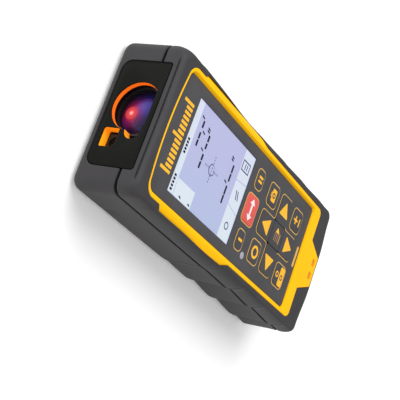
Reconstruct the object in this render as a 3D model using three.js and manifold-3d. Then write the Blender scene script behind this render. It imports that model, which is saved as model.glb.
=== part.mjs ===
// A hand-held laser distance meter, lying on its back.
// Millimetres. +X is to the right of the screen, +Y points to the lens end and +Z comes out of
// the screen. The origin is in the middle of the back face, which lies in the plane z = 0.

import * as THREE from 'three';
import { mergeVertices } from 'three/addons/utils/BufferGeometryUtils.js';
import Module from 'manifold-3d';

const wasm = await Module();
wasm.setup();

// ---------------------------------------------------------------- driving dimensions

// Casing
const BODY_WIDTH = 59;
const BODY_LENGTH = 147.2;
const BODY_CORNER = 5.5; // radius of the corners seen from the front
const BASE_CROWN = 1.8; // how far the base bulges past its corners
const BASE_FLAT = 32; // width of the flat in the middle of the base
const FRONT_EDGE = 4.5; // rounding round the front face
const RIM_RISE = 1; // how far the casing's face stands above the keypad panel
const BACK_EDGE = 3.4; // rounding round the back face
const WALL = 2.2;
const FRONT_WALL = 3;
const SEAM_DEPTH = 7; // middle of the parting line, below the keypad panel
const SEAM_WIDTH = 0.8;
const GASKET_THICKNESS = 0.6;
const GASKET_INSET = 0.6;
const GASKET_WIDTH = 1.2;

// Finger grips down both sides
const GRIP_START = 71.2; // first step, from the lens end
const GRIP_PITCH = 22;
const GRIP_COUNT = 3;
const GRIP_DEPTH = 1.5;
const GRIP_STEP = 2.4;

// Front panel, with distances down the panel taken from the lens end
const BEZEL_HALF = 25.3;
const BEZEL_EAR_HALF = 27.2; // beside the screen the bezel is wider, and slopes down to the side
const EAR_DROP = 0.9;
const BEZEL_TOP = 5.4;
const BEZEL_BOW = 1.5; // fall of the top line from its middle to its corners
const BEZEL_EAR_TOP = 17.2;
const BEZEL_EAR_BOTTOM = 73.2;
const BEZEL_BOTTOM = 132.8;
const BEZEL_PROUD = 0.1;
const BEZEL_RIM = 0.8; // width of the bezel's thin top line
const BEZEL_CORNER = 3;
const TONGUE_HALF = 11.3;
const TONGUE_TIP_HALF = 6.8;
const TONGUE_TIP = 143.2;
const PANEL_HALF = 23;
const PANEL_BOTTOM = 126.4;
const PANEL_THICKNESS = 1.6;
const PANEL_FIT = 0.15; // clearance round each piece set in the front panel
const LEDGE = 1.1; // how far the casing reaches under the panel's rim

// Screen: a 2.4 inch panel with sides in the ratio 3 to 4
const SCREEN_WIDTH = 36.72;
const SCREEN_HEIGHT = 48.96;
const SCREEN_TOP = 20.2;
const SCREEN_MARGIN = 0.2; // cover glass past the active area
const GLASS_THICKNESS = 1.1;
const LCD_THICKNESS = 1.8;
const LCD_MARGIN = 1.2;
const LCD_FRAME_THICKNESS = 1;

// Keys
const KEY_PROUD = 0.35;
const KEY_HEIGHT = 2.85;
const KEY_OUTLINE = 0.35; // printed line outside each key hole
const KEY_FIT = 0.15;
const KEY_CORNER = 1.8;
const SPLIT = 0.3; // gap between the keys of the cross
const SIDE_KEY_X = 12.55;
const CROSS_ARM = 5.3; // half the width of each arm
const CROSS_HALF_WIDTH = 17.4;
const CROSS_HALF_HEIGHT = 17.1;
const CROSS_CENTRE = 102.9;
const PLAIN_KEYS = [
  { name: 'key_f1', x: -SIDE_KEY_X - 0.6, down: 76.6, width: 8.5, height: 6.2 },
  { name: 'key_f2', x: SIDE_KEY_X + 0.45, down: 76.6, width: 8.5, height: 6.2 },
  { name: 'key_measure', x: -0.1, down: 76.85, width: 12.3, height: 10 },
  { name: 'key_function', x: -SIDE_KEY_X - 0.1, down: 90.3, width: 9.7, height: 8.8 },
  { name: 'key_camera', x: SIDE_KEY_X - 0.1, down: 90.3, width: 9.7, height: 8.8 },
  { name: 'key_clear', x: -SIDE_KEY_X - 0.2, down: 115.7, width: 9.8, height: 9.5 },
  { name: 'key_plus_minus', x: SIDE_KEY_X - 0.2, down: 115.5, width: 9.8, height: 9.3 },
];
const SENSOR_X = -17.5;
const SENSOR_DOWN = 82.35;
const SENSOR_RADIUS = 1.5;

// Lens end, with depths taken from the end face and heights from the keypad panel
const WINDOW_HALF = 20.6;
const WINDOW_FRONT = 2.5;
const WINDOW_THICKNESS = 0.9;
const WINDOW_RECESS = 0.3;
const WINDOW_FIT = 0.45;
const WINDOW_FRONT_CORNER = 0.7;
const WINDOW_BACK_CORNER = 3.7;
const INSERT_THICKNESS = 2.8;
const INSERT_MARGIN = 1.4;
const CAMERA_X = -9.75;
const CAMERA_DOWN = 17.2;
const CAMERA_WIDTH = 7.2;
const CAMERA_HEIGHT = 6.4;
const CAMERA_CORNER = 0.6;
const APERTURE_WEB = 0.25; // from the camera's opening to the widest part of the receiver's
const RECEIVER_RADIUS = 9;
const RECEIVER_X = CAMERA_X + CAMERA_WIDTH / 2 + APERTURE_WEB + RECEIVER_RADIUS;
const RECEIVER_DOWN = 11.4;
const RECEIVER_FLAT = 5; // the round opening is cut flat at this height
const LOBE_X = RECEIVER_X - RECEIVER_RADIUS - 0.1;
const LOBE_DOWN = 8.6;
const LOBE_RADIUS = 3.1;
const LASER_X = RECEIVER_X - 1.1;
const LASER_DOWN = 14.8;
const LASER_RADIUS = 2.4;
const LASER_LENGTH = 9.4;
const BARREL_WALL = 0.8;
const BARREL_LENGTH = 6.7; // straight part, in front of the taper
const BARREL_TAPER = 10;
const BARREL_NECK_RADIUS = 4.5;
const BARREL_NECK = 5;
const LENS_DOME = 2.4;
const LENS_EDGE = 2;
const WINDOW_BACK = RECEIVER_DOWN + RECEIVER_RADIUS + 2.4;
const OPTICS_FIT = 0.2;

// Electronics
const BOARD_THICKNESS = 1.6;
const BOARD_DEPTH = 6;
const BOARD_CLEAR = 0.6; // above the battery bay
const BOARD_HALF = 24;
const BOARD_TOP = 29.7;
const BOARD_BOTTOM = 128;
const BUZZER_RADIUS = 5.5;
const BUZZER_HEIGHT = 3;

// Batteries: two AA cells side by side
const CELL_RADIUS = 7.25;
const CELL_LENGTH = 49.5;
const CELL_NUB_RADIUS = 2.75;
const CELL_NUB = 1;
const CELL_SPACING = 2 * CELL_RADIUS + 0.5;
const CELL_CENTRE = 96.7;
const CELL_FLOOR = 2.25; // lowest point of the cells above the back face
const CONTACT_ROOM = 2.6; // between the cells' ends and the bay's walls
const BAY_CLEAR = 0.75;
const BAY_HEADROOM = 0.35;
const BAY_WALL = 1.2;
const SPRING_WIRE = 0.4;
const SPRING_TURNS = 2;
const CONTACT_PLATE = 0.4;

// The cells, the bay's ceiling, the board and the display set the thickness, up to the keypad panel
const BODY_THICKNESS = CELL_FLOOR + 2 * CELL_RADIUS + BAY_HEADROOM + BAY_WALL + BOARD_CLEAR
  + BOARD_THICKNESS + BOARD_DEPTH;
const CASING_TOP = BODY_THICKNESS + RIM_RISE;

// Battery cover, on the back
const COVER_THICKNESS = 1.55;
const COVER_LAP = 1.4; // cover past the bay on each side
const COVER_FIT = 0.25;
const COVER_SINK = 0.1; // cover below the back face
const COVER_STUB_RADIUS = 0.5;
const COVER_STUB_LENGTH = 0.9;
const LATCH_WIDTH = 10;
const LATCH_LENGTH = 3;
const LATCH_TRAVEL = 1.5;

// Fold-out end piece, in the back at the base
const PIECE_WIDTH = 18.6;
const PIECE_THICKNESS = 2.4;
const PIECE_LENGTH = 17.1; // hinge line to tip
const PIECE_HINGE = 2.7; // hinge line from the base
const PIECE_HINGE_UP = 1.7; // hinge line above the back face
const PIECE_ROOT_RADIUS = 1.6;
const PIECE_FIT = 0.4;
const PIN_RADIUS = 0.8;
const PIN_FIT = 0.1;
const PIN_OVERHANG = 2;

// Tripod socket, in the back: a quarter inch thread
const TRIPOD_DOWN = 53.2;
const TRIPOD_RADIUS = 5.5;
const TRIPOD_BORE = 3;
const TRIPOD_DEPTH = 7;
const TRIPOD_HEIGHT = 8;

// Case screws: two at the lens end by the walls, and two nearer the middle at the base
const BOSS_RADIUS = 3;
const SCREW_X = BODY_WIDTH / 2 - WALL - BOSS_RADIUS - 0.3;
const SCREW_BASE_IN = 2.5;
const SCREW_PLACES = [
  { x: -SCREW_X, down: 13.7 },
  { x: SCREW_X, down: 13.7 },
  { x: -SCREW_X + SCREW_BASE_IN, down: 130.8 },
  { x: SCREW_X - SCREW_BASE_IN, down: 130.8 },
];
const SCREW_RADIUS = 1.2;
const SCREW_HEAD_RADIUS = 2.2;
const SCREW_HEAD = 1.6;
const SCREW_SINK = 2.2;
const SCREW_LENGTH = 15;
const SCREW_FIT = 0.25;
const BOSS_MEET = 12; // where the front and back bosses meet, below the keypad panel

const GAP = 0.2; // between pieces that touch on the real meter
const OVERCUT = 1; // how far a cutting tool runs past a face
const CURVE_STEPS = 2; // facets on each eighth of a round corner

// ---------------------------------------------------------------- places

const LENS_END = BODY_LENGTH / 2;
const BASE_END = -BODY_LENGTH / 2;

/** The y of a point at this distance from the lens end. */
function down(distance) {
  return LENS_END - distance;
}

/** The z of a point at this depth below the keypad panel. */
function below(depth) {
  return BODY_THICKNESS - depth;
}

// ---------------------------------------------------------------- shapes

/** A rectangle with rounded corners, in the plane. */
function roundedRectangle(left, right, low, high, radius) {
  const shape = new THREE.Shape();
  shape.moveTo(left + radius, low);
  shape.absarc(right - radius, low + radius, radius, -Math.PI / 2, 0);
  shape.absarc(right - radius, high - radius, radius, 0, Math.PI / 2);
  shape.absarc(left + radius, high - radius, radius, Math.PI / 2, Math.PI);
  shape.absarc(left + radius, low + radius, radius, Math.PI, Math.PI * 1.5);
  return shape;
}

/** A closed outline from its right half, which runs down from the middle line to it. */
function mirrored(rightHalf, segments) {
  const right = rightHalf.getPoints(segments);
  const left = right.filter((p) => p.x > 1e-6).map((p) => new THREE.Vector2(-p.x, p.y));
  return new THREE.Shape(right.concat(left.reverse()));
}

/** The casing from the front, drawn in by a distance. */
function bodyOutline(inset) {
  const half = BODY_WIDTH / 2 - inset;
  const corner = BODY_CORNER - inset;
  const path = new THREE.Path();
  path.moveTo(0, LENS_END - inset);
  path.lineTo(half - corner, LENS_END - inset);
  path.absarc(half - corner, LENS_END - inset - corner, corner, Math.PI / 2, 0, true);
  for (let grip = 0; grip < GRIP_COUNT; grip += 1) {
    const step = GRIP_START + grip * GRIP_PITCH;
    const low = step + GRIP_STEP;
    const next = step + GRIP_PITCH;
    path.lineTo(half, down(step));
    path.lineTo(half - GRIP_DEPTH, down(low));
    path.quadraticCurveTo(half - GRIP_DEPTH / 3, down((low + next) / 2), half, down(next - GRIP_STEP));
  }
  const base = BASE_END + inset;
  path.lineTo(half, base + BASE_CROWN + corner);
  path.absarc(half - corner, base + BASE_CROWN + corner, corner, 0, -Math.PI / 2, true);
  path.lineTo(BASE_FLAT / 2, base);
  path.lineTo(0, base);
  return mirrored(path, 3);
}

/** The bezel's outer edge, grown by a distance. */
function bezelOutline(grow) {
  const side = BEZEL_HALF + grow;
  const ear = BEZEL_EAR_HALF + grow;
  const lean = BEZEL_EAR_HALF - BEZEL_HALF;
  const bend = BEZEL_HALF * 0.8;
  const top = down(BEZEL_TOP) + grow;
  const shoulder = top - BEZEL_BOW;
  const bottom = down(BEZEL_BOTTOM) - grow;
  const path = new THREE.Path();
  path.moveTo(0, top);
  path.quadraticCurveTo(bend / 2, top, bend, shoulder);
  path.quadraticCurveTo(side, shoulder - 0.5, side, shoulder - 5.8);
  path.lineTo(side, down(BEZEL_EAR_TOP) + grow);
  path.lineTo(ear, down(BEZEL_EAR_TOP) - lean + grow);
  path.lineTo(ear, down(BEZEL_EAR_BOTTOM) + 3 * lean - grow);
  path.lineTo(side, down(BEZEL_EAR_BOTTOM) - grow);
  path.lineTo(side, bottom + BEZEL_CORNER);
  path.absarc(side - BEZEL_CORNER, bottom + BEZEL_CORNER, BEZEL_CORNER, 0, -Math.PI / 2, true);
  path.lineTo(TONGUE_HALF + grow, bottom);
  path.lineTo(TONGUE_TIP_HALF + grow, down(TONGUE_TIP) - grow);
  path.lineTo(0, down(TONGUE_TIP) - grow);
  return mirrored(path, 4);
}

/** The keypad panel inside the bezel, grown by a distance. */
function panelOutline(grow) {
  const side = PANEL_HALF + grow;
  const bend = PANEL_HALF * 0.8;
  const top = down(BEZEL_TOP + BEZEL_RIM + PANEL_FIT) + grow;
  const shoulder = top - BEZEL_BOW;
  const bottom = down(PANEL_BOTTOM) - grow;
  const path = new THREE.Path();
  path.moveTo(0, top);
  path.quadraticCurveTo(bend / 2, top, bend, shoulder);
  path.quadraticCurveTo(side, shoulder - 0.5, side, shoulder - 5);
  path.lineTo(side, bottom + KEY_CORNER);
  path.absarc(side - KEY_CORNER, bottom + KEY_CORNER, KEY_CORNER, 0, -Math.PI / 2, true);
  path.lineTo(0, bottom);
  return mirrored(path, 4);
}

/** A rectangle round the screen's active area, grown by a distance. */
function screenOutline(grow, radius) {
  const half = SCREEN_WIDTH / 2 + grow;
  const low = down(SCREEN_TOP + SCREEN_HEIGHT) - grow;
  const high = down(SCREEN_TOP) + grow;
  return roundedRectangle(-half, half, low, high, radius);
}

/** One plain key's outline, drawn in by a distance. */
function keyOutline(key, inset) {
  const halfWidth = key.width / 2 - inset;
  const halfHeight = key.height / 2 - inset;
  const y = down(key.down);
  return roundedRectangle(key.x - halfWidth, key.x + halfWidth, y - halfHeight, y + halfHeight,
    KEY_CORNER - inset);
}

/** The cross of five keys, drawn in by a distance. */
function crossOutline(inset) {
  const arm = CROSS_ARM - inset;
  const wide = CROSS_HALF_WIDTH - inset;
  const tall = CROSS_HALF_HEIGHT - inset;
  const round = KEY_CORNER - inset;
  const y = down(CROSS_CENTRE);
  const path = new THREE.Path();
  path.moveTo(0, y + tall);
  path.lineTo(arm - round, y + tall);
  path.absarc(arm - round, y + tall - round, round, Math.PI / 2, 0, true);
  path.lineTo(arm, y + arm);
  path.lineTo(wide - round, y + arm);
  path.absarc(wide - round, y + arm - round, round, Math.PI / 2, 0, true);
  path.absarc(wide - round, y - arm + round, round, 0, -Math.PI / 2, true);
  path.lineTo(arm, y - arm);
  path.lineTo(arm, y - tall + round);
  path.absarc(arm - round, y - tall + round, round, 0, -Math.PI / 2, true);
  path.lineTo(0, y - tall);
  return mirrored(path, 2);
}

/** The end window's outline in x and z, grown by a distance. */
function windowOutline(grow) {
  const half = WINDOW_HALF + grow;
  const front = below(WINDOW_FRONT) + grow;
  const back = below(WINDOW_BACK) - grow;
  const path = new THREE.Path();
  path.moveTo(0, front);
  path.lineTo(half - WINDOW_FRONT_CORNER, front);
  path.lineTo(half, front - WINDOW_FRONT_CORNER);
  path.lineTo(half, back + WINDOW_BACK_CORNER);
  path.absarc(half - WINDOW_BACK_CORNER, back + WINDOW_BACK_CORNER, WINDOW_BACK_CORNER,
    0, -Math.PI / 2, true);
  path.lineTo(0, back);
  return mirrored(path, 3);
}

// ---------------------------------------------------------------- geometry

/** A straight prism on a shape in x and y, between two heights. */
function prism(shape, low, high) {
  const geometry = new THREE.ExtrudeGeometry(shape, {
    depth: high - low, bevelEnabled: false, curveSegments: CURVE_STEPS,
  });
  return geometry.translate(0, 0, low);
}

/** The same prism with both ends rounded to a radius. */
function roundedPrism(shape, low, high, radius) {
  const geometry = new THREE.ExtrudeGeometry(shape, {
    depth: high - low - 2 * radius,
    bevelThickness: radius,
    bevelSize: radius,
    bevelOffset: -radius,
    bevelSegments: 3,
    curveSegments: CURVE_STEPS,
  });
  return geometry.translate(0, 0, low + radius);
}

/** A prism on a shape in x and z, between two values of y. */
function prismAlongY(shape, low, high) {
  return prism(shape, -high, -low).rotateX(Math.PI / 2);
}

/** A prism on a shape in y and z, between two values of x. */
function prismAlongX(shape, low, high) {
  const turn = new THREE.Matrix4().makeBasis(
    new THREE.Vector3(0, 1, 0), new THREE.Vector3(0, 0, 1), new THREE.Vector3(1, 0, 0));
  return prism(shape, low, high).applyMatrix4(turn);
}

/** A box between two corners. */
function block(x, y, z) {
  const geometry = new THREE.BoxGeometry(x[1] - x[0], y[1] - y[0], z[1] - z[0]);
  return geometry.translate((x[0] + x[1]) / 2, (y[0] + y[1]) / 2, (z[0] + z[1]) / 2);
}

/** A cylinder along x, y or z, between two values on its axis. */
function cylinder(axis, radius, low, high, centre, sides = 24) {
  const geometry = new THREE.CylinderGeometry(radius, radius, high - low, sides);
  const middle = (low + high) / 2;
  if (axis === 'x') {
    return geometry.rotateZ(Math.PI / 2).translate(middle, centre[0], centre[1]);
  }
  if (axis === 'y') {
    return geometry.translate(centre[0], middle, centre[1]);
  }
  return geometry.rotateX(Math.PI / 2).translate(centre[0], centre[1], middle);
}

/** A turned piece on an axis along y: each point is a radius and a y. */
function turned(points, centre, sides = 32) {
  const profile = points.map(([radius, y]) => new THREE.Vector2(radius, y));
  return new THREE.LatheGeometry(profile, sides).translate(centre[0], 0, centre[1]);
}

// ---------------------------------------------------------------- booleans

/** A manifold solid from a closed geometry. */
function solid(geometry) {
  if (!geometry.isBufferGeometry) {
    return geometry;
  }
  const bare = geometry.clone();
  bare.deleteAttribute('normal');
  bare.deleteAttribute('uv');
  const merged = mergeVertices(bare, 1e-4);
  return new wasm.Manifold(new wasm.Mesh({
    numProp: 3,
    vertProperties: new Float32Array(merged.attributes.position.array),
    triVerts: new Uint32Array(merged.index.array),
  }));
}

function join(first, ...others) {
  return others.reduce((whole, piece) => whole.add(solid(piece)), solid(first));
}

function cut(first, ...tools) {
  return tools.reduce((whole, tool) => whole.subtract(solid(tool)), solid(first));
}

function common(first, second) {
  return solid(first).intersect(solid(second));
}

/** A three.js geometry from a manifold solid. */
function surface(piece) {
  if (piece.isBufferGeometry) {
    return piece;
  }
  const mesh = piece.getMesh();
  const geometry = new THREE.BufferGeometry();
  geometry.setAttribute('position', new THREE.BufferAttribute(mesh.vertProperties, 3));
  geometry.setIndex(new THREE.BufferAttribute(mesh.triVerts, 1));
  geometry.computeVertexNormals();
  return geometry;
}

// ---------------------------------------------------------------- the assembly

const meter = new THREE.Group();
meter.name = 'laser_distance_meter';

const FINISH = {
  rubber: { color: 0x4a484b, roughness: 0.75, metalness: 0 },
  yellow: { color: 0xffb81c, roughness: 0.45, metalness: 0 },
  panel: { color: 0x3b3b3f, roughness: 0.6, metalness: 0 },
  key: { color: 0x424247, roughness: 0.65, metalness: 0 },
  red: { color: 0xe0504a, roughness: 0.5, metalness: 0 },
  black: { color: 0x141512, roughness: 0.25, metalness: 0 },
  glass: { color: 0xdfe6f2, roughness: 0.05, metalness: 0, transparent: true, opacity: 0.35 },
  coated: { color: 0x3a2f9a, roughness: 0.05, metalness: 0 },
  screen: { color: 0xb2bae0, roughness: 0.3, metalness: 0 },
  board: { color: 0x1f5a36, roughness: 0.5, metalness: 0 },
  steel: { color: 0xb8b8bc, roughness: 0.35, metalness: 1 },
  brass: { color: 0xc9a34e, roughness: 0.35, metalness: 1 },
  silicone: { color: 0x77777c, roughness: 0.8, metalness: 0 },
  cell: { color: 0x2f6db5, roughness: 0.4, metalness: 0 },
};

function add(name, piece, finish) {
  const mesh = new THREE.Mesh(surface(piece), new THREE.MeshStandardMaterial(FINISH[finish]));
  mesh.name = name;
  meter.add(mesh);
}

// ---------------------------------------------------------------- casing

const cavity = prism(bodyOutline(WALL), WALL, below(FRONT_WALL));
const windowOpening = prismAlongY(windowOutline(WINDOW_FIT), LENS_END - WALL - OVERCUT, LENS_END + OVERCUT);
const seamHalf = SEAM_WIDTH / 2;

/** Everything between two heights, for slicing the casing. */
function slab(low, high) {
  const reach = BODY_LENGTH;
  return block([-reach, reach], [-reach, reach], [low, high]);
}

/** One screw boss, as a post round the screw. */
function boss(place, low, high) {
  return cylinder('z', BOSS_RADIUS, low, high, [place.x, down(place.down)], 16);
}

function addFrontShell() {
  const outer = roundedPrism(bodyOutline(0), 0, CASING_TOP, FRONT_EDGE);
  const half = common(outer, slab(below(SEAM_DEPTH - seamHalf), CASING_TOP + OVERCUT));
  const pocketFloor = below(PANEL_THICKNESS + GAP / 2);
  const pocket = prism(bezelOutline(PANEL_FIT), pocketFloor, CASING_TOP + OVERCUT);
  const opening = prism(panelOutline(-LEDGE), below(FRONT_WALL + OVERCUT), BODY_THICKNESS);
  let shell = cut(half, cavity, pocket, opening, windowOpening);
  for (const place of SCREW_PLACES) {
    const hole = cylinder('z', SCREW_RADIUS + SCREW_FIT, below(BOSS_MEET) - OVERCUT,
      screwTip() + OVERCUT, [place.x, down(place.down)], 16);
    shell = cut(join(shell, boss(place, below(BOSS_MEET), below(FRONT_WALL) + GAP)), hole);
  }
  add('front_shell', shell, 'rubber');
}

function addBackShell() {
  const outer = roundedPrism(bodyOutline(0), 0, BODY_THICKNESS, BACK_EDGE);
  const half = common(outer, slab(-OVERCUT, below(SEAM_DEPTH + seamHalf)));
  const bosses = SCREW_PLACES.map((place) => boss(place, WALL - GAP, below(BOSS_MEET + GAP)));
  const shell = join(cut(half, cavity), ...bosses, bayBlock(), pieceBlock(), tripodBoss());
  const screwHoles = SCREW_PLACES.flatMap((place) => {
    const centre = [place.x, down(place.down)];
    return [
      cylinder('z', SCREW_HEAD_RADIUS + SCREW_FIT, -OVERCUT, SCREW_SINK + SCREW_HEAD, centre, 16),
      cylinder('z', SCREW_RADIUS + SCREW_FIT, 0, below(BOSS_MEET) + OVERCUT, centre, 16),
    ];
  });
  add('back_shell', cut(shell, windowOpening, ...screwHoles, ...bayCuts(), ...pieceCuts(),
    tripodHole()), 'rubber');
}

function addSeamGasket() {
  const low = below(SEAM_DEPTH) - GASKET_THICKNESS / 2;
  const outer = prism(bodyOutline(GASKET_INSET), low, low + GASKET_THICKNESS);
  const inner = prism(bodyOutline(GASKET_INSET + GASKET_WIDTH), low - OVERCUT, low + OVERCUT * 2);
  add('seam_gasket', cut(outer, inner, windowOpening), 'black');
}

// ---------------------------------------------------------------- front panel

const bezelTop = CASING_TOP + BEZEL_PROUD;

function addBezel() {
  const low = below(PANEL_THICKNESS);
  const ring = prism(bezelOutline(0), low, bezelTop);
  const hole = prism(panelOutline(PANEL_FIT), low - OVERCUT, bezelTop + OVERCUT);
  add('bezel', cut(ring, hole, earSlope(1), earSlope(-1)), 'yellow');
}

/** What is cut away so that one side's ear slopes down to the casing's rounded side. */
function earSlope(side) {
  const run = BEZEL_EAR_HALF - BEZEL_HALF;
  const shape = new THREE.Shape([
    new THREE.Vector2(side * (BEZEL_HALF - run), bezelTop + EAR_DROP),
    new THREE.Vector2(side * (BEZEL_EAR_HALF + run), bezelTop - 2 * EAR_DROP),
    new THREE.Vector2(side * (BEZEL_EAR_HALF + run), bezelTop + EAR_DROP),
  ]);
  return prismAlongY(shape, down(BEZEL_EAR_BOTTOM), down(BEZEL_EAR_TOP));
}

function sensorHole(fit) {
  return cylinder('z', SENSOR_RADIUS + fit, below(PANEL_THICKNESS), BODY_THICKNESS,
    [SENSOR_X, down(SENSOR_DOWN)], 24);
}

function addKeypadPanel() {
  const low = below(PANEL_THICKNESS);
  const through = [low - OVERCUT, BODY_THICKNESS + OVERCUT];
  const holes = PLAIN_KEYS.map((key) => prism(keyOutline(key, KEY_OUTLINE), ...through));
  holes.push(prism(crossOutline(KEY_OUTLINE), ...through));
  holes.push(prism(screenOutline(SCREEN_MARGIN + PANEL_FIT, 0.3), ...through));
  holes.push(sensorHole(PANEL_FIT));
  add('keypad_panel', cut(prism(panelOutline(0), low, BODY_THICKNESS), ...holes), 'panel');
  add('light_sensor', sensorHole(0), 'screen');
}

function addScreen() {
  const glassLow = below(GLASS_THICKNESS + GAP / 2);
  const lcdTop = glassLow - GAP;
  const frameTop = lcdTop - LCD_THICKNESS - GAP;
  const glass = prism(screenOutline(SCREEN_MARGIN, 0.3), glassLow, glassLow + GLASS_THICKNESS);
  const lcd = prism(screenOutline(LCD_MARGIN, 0.5), lcdTop - LCD_THICKNESS, lcdTop);
  const tray = prism(screenOutline(LCD_MARGIN, 0.5), frameTop - LCD_FRAME_THICKNESS, frameTop);
  add('display_window', glass, 'glass');
  add('lcd_panel', cut(lcd, prism(panelFrame(), below(PANEL_THICKNESS + GAP), BODY_THICKNESS)), 'screen');
  add('lcd_frame', tray, 'steel');
}

/** The keypad panel's material round the screen, which the display is stepped down to clear. */
function panelFrame() {
  const frame = screenOutline(LCD_MARGIN + OVERCUT, 0.3);
  frame.holes.push(screenOutline(SCREEN_MARGIN, 0.3));
  return frame;
}

// ---------------------------------------------------------------- keys

const keyTop = BODY_THICKNESS + KEY_PROUD;
const keyFoot = keyTop - KEY_HEIGHT;

function addPlainKeys() {
  for (const key of PLAIN_KEYS) {
    const cap = prism(keyOutline(key, KEY_OUTLINE + KEY_FIT), keyFoot, keyTop);
    add(key.name, cap, key.name === 'key_measure' ? 'red' : 'key');
  }
}

/** The four arrow keys and the equals key are cut from one cross. */
function addCrossKeys() {
  const cross = prism(crossOutline(KEY_OUTLINE + KEY_FIT), keyFoot, keyTop);
  const y = down(CROSS_CENTRE);
  const near = CROSS_ARM - SPLIT / 2;
  const far = CROSS_ARM + SPLIT / 2;
  const reach = CROSS_HALF_WIDTH + OVERCUT;
  const z = [keyFoot - OVERCUT, keyTop + OVERCUT];
  const centre = prism(roundedRectangle(-near, near, y - near, y + near, 0.8), keyFoot, keyTop);
  add('key_up', common(cross, block([-reach, reach], [y + far, y + reach], z)), 'key');
  add('key_down', common(cross, block([-reach, reach], [y - reach, y - far], z)), 'key');
  add('key_left', common(cross, block([-reach, -far], [y - reach, y + reach], z)), 'key');
  add('key_right', common(cross, block([far, reach], [y - reach, y + reach], z)), 'key');
  add('key_equals', common(cross, centre), 'key');
}

/** The middle of every key, for the pieces under them. */
function keyCentres() {
  const y = down(CROSS_CENTRE);
  const arm = (CROSS_HALF_WIDTH + CROSS_ARM) / 2;
  const plain = PLAIN_KEYS.map((key) => [key.x, down(key.down)]);
  return plain.concat([[0, y], [0, y + arm], [0, y - arm], [-arm, y], [arm, y]]);
}

function addKeyMat() {
  const sheetTop = keyFoot - 0.5;
  const sheet = roundedRectangle(-PANEL_HALF + LEDGE + 1, PANEL_HALF - LEDGE - 1,
    down(PANEL_BOTTOM - LEDGE - 1), down(SCREEN_TOP + SCREEN_HEIGHT + LCD_MARGIN + 1), 1);
  const domeTop = below(BOARD_DEPTH) + 0.65;
  const posts = keyCentres().map((centre) => cylinder('z', 1.5, domeTop + GAP, sheetTop - 0.2, centre, 8));
  const domes = keyCentres().map((centre) => cylinder('z', 2, below(BOARD_DEPTH) + 0.2, domeTop, centre, 10));
  add('key_mat', join(prism(sheet, sheetTop - 0.9, sheetTop), ...posts), 'silicone');
  add('snap_domes', join(prism(sheet, below(BOARD_DEPTH) + 0.1, below(BOARD_DEPTH) + 0.3), ...domes), 'steel');
}

// ---------------------------------------------------------------- lens end

const receiverZ = below(RECEIVER_DOWN);
const windowFace = LENS_END - WINDOW_RECESS;
const insertFace = windowFace - WINDOW_THICKNESS - GAP;
const insertBack = insertFace - INSERT_THICKNESS;
const barrelFace = insertBack - OPTICS_FIT;
const lensRadius = RECEIVER_RADIUS - OPTICS_FIT;

/** A round bar along y that is cut flat on its front side. */
function flatted(radius, low, high, flat) {
  const bar = cylinder('y', radius, low, high, [RECEIVER_X, receiverZ], 32);
  const reach = radius * 2;
  const keep = block([RECEIVER_X - reach, RECEIVER_X + reach], [low - OVERCUT, high + OVERCUT],
    [receiverZ - reach, below(flat)]);
  return common(bar, keep);
}

/** The receiver's keyhole and the camera's square hole, as two cutting tools. */
function apertureTools() {
  const low = insertBack - OVERCUT;
  const high = LENS_END + OVERCUT;
  const lobe = cylinder('y', LOBE_RADIUS, low, high, [LOBE_X, below(LOBE_DOWN)], 20);
  const keyhole = join(flatted(RECEIVER_RADIUS, low, high, RECEIVER_FLAT), lobe);
  const square = roundedRectangle(CAMERA_X - CAMERA_WIDTH / 2, CAMERA_X + CAMERA_WIDTH / 2,
    below(CAMERA_DOWN) - CAMERA_HEIGHT / 2, below(CAMERA_DOWN) + CAMERA_HEIGHT / 2, CAMERA_CORNER);
  return [keyhole, prismAlongY(square, low, high)];
}

function addWindow() {
  const plate = prismAlongY(windowOutline(0), windowFace - WINDOW_THICKNESS, windowFace);
  add('end_window', cut(plate, ...apertureTools()), 'black');
}

function addApertureInsert() {
  const left = CAMERA_X - CAMERA_WIDTH / 2 - INSERT_MARGIN;
  const right = RECEIVER_X + RECEIVER_RADIUS + INSERT_MARGIN;
  const low = receiverZ - RECEIVER_RADIUS - INSERT_MARGIN;
  const high = below(RECEIVER_FLAT - INSERT_MARGIN);
  const body = prismAlongY(roundedRectangle(left, right, low, high, 1.5), insertBack, insertFace);
  add('aperture_insert', cut(body, ...apertureTools()), 'yellow');
}

function addBarrel() {
  const outer = RECEIVER_RADIUS + BARREL_WALL;
  const taperStart = barrelFace - BARREL_LENGTH;
  const taperEnd = taperStart - BARREL_TAPER;
  const end = taperEnd - BARREL_NECK;
  const centre = [RECEIVER_X, receiverZ];
  const outside = turned([[0, end], [BARREL_NECK_RADIUS, end], [BARREL_NECK_RADIUS, taperEnd],
    [outer, taperStart], [outer, barrelFace], [0, barrelFace]], centre);
  const neck = BARREL_NECK_RADIUS - BARREL_WALL;
  const inside = turned([[0, end - OVERCUT], [neck, end - OVERCUT], [neck, taperEnd],
    [RECEIVER_RADIUS, taperStart], [RECEIVER_RADIUS, barrelFace + OVERCUT],
    [0, barrelFace + OVERCUT]], centre);
  const flat = RECEIVER_FLAT - BARREL_WALL;
  const keepAll = block([-BODY_WIDTH, BODY_WIDTH], [end - OVERCUT, barrelFace + OVERCUT], [0, below(flat)]);
  const keepIn = block([-BODY_WIDTH, BODY_WIDTH], [end - 2 * OVERCUT, barrelFace + 2 * OVERCUT],
    [0, below(RECEIVER_FLAT)]);
  const tube = cut(common(outside, keepAll), common(inside, keepIn));
  const fin = block([LASER_X - 0.6, LASER_X + 0.6], [taperStart, lensBack() - GAP],
    [receiverZ - RECEIVER_RADIUS - BARREL_WALL / 2, below(LASER_DOWN) - LASER_RADIUS - GAP]);
  add('lens_barrel', join(tube, fin), 'black');
}

const lensApex = insertBack + GAP;

function lensBack() {
  return lensApex - LENS_DOME - LENS_EDGE;
}

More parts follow.
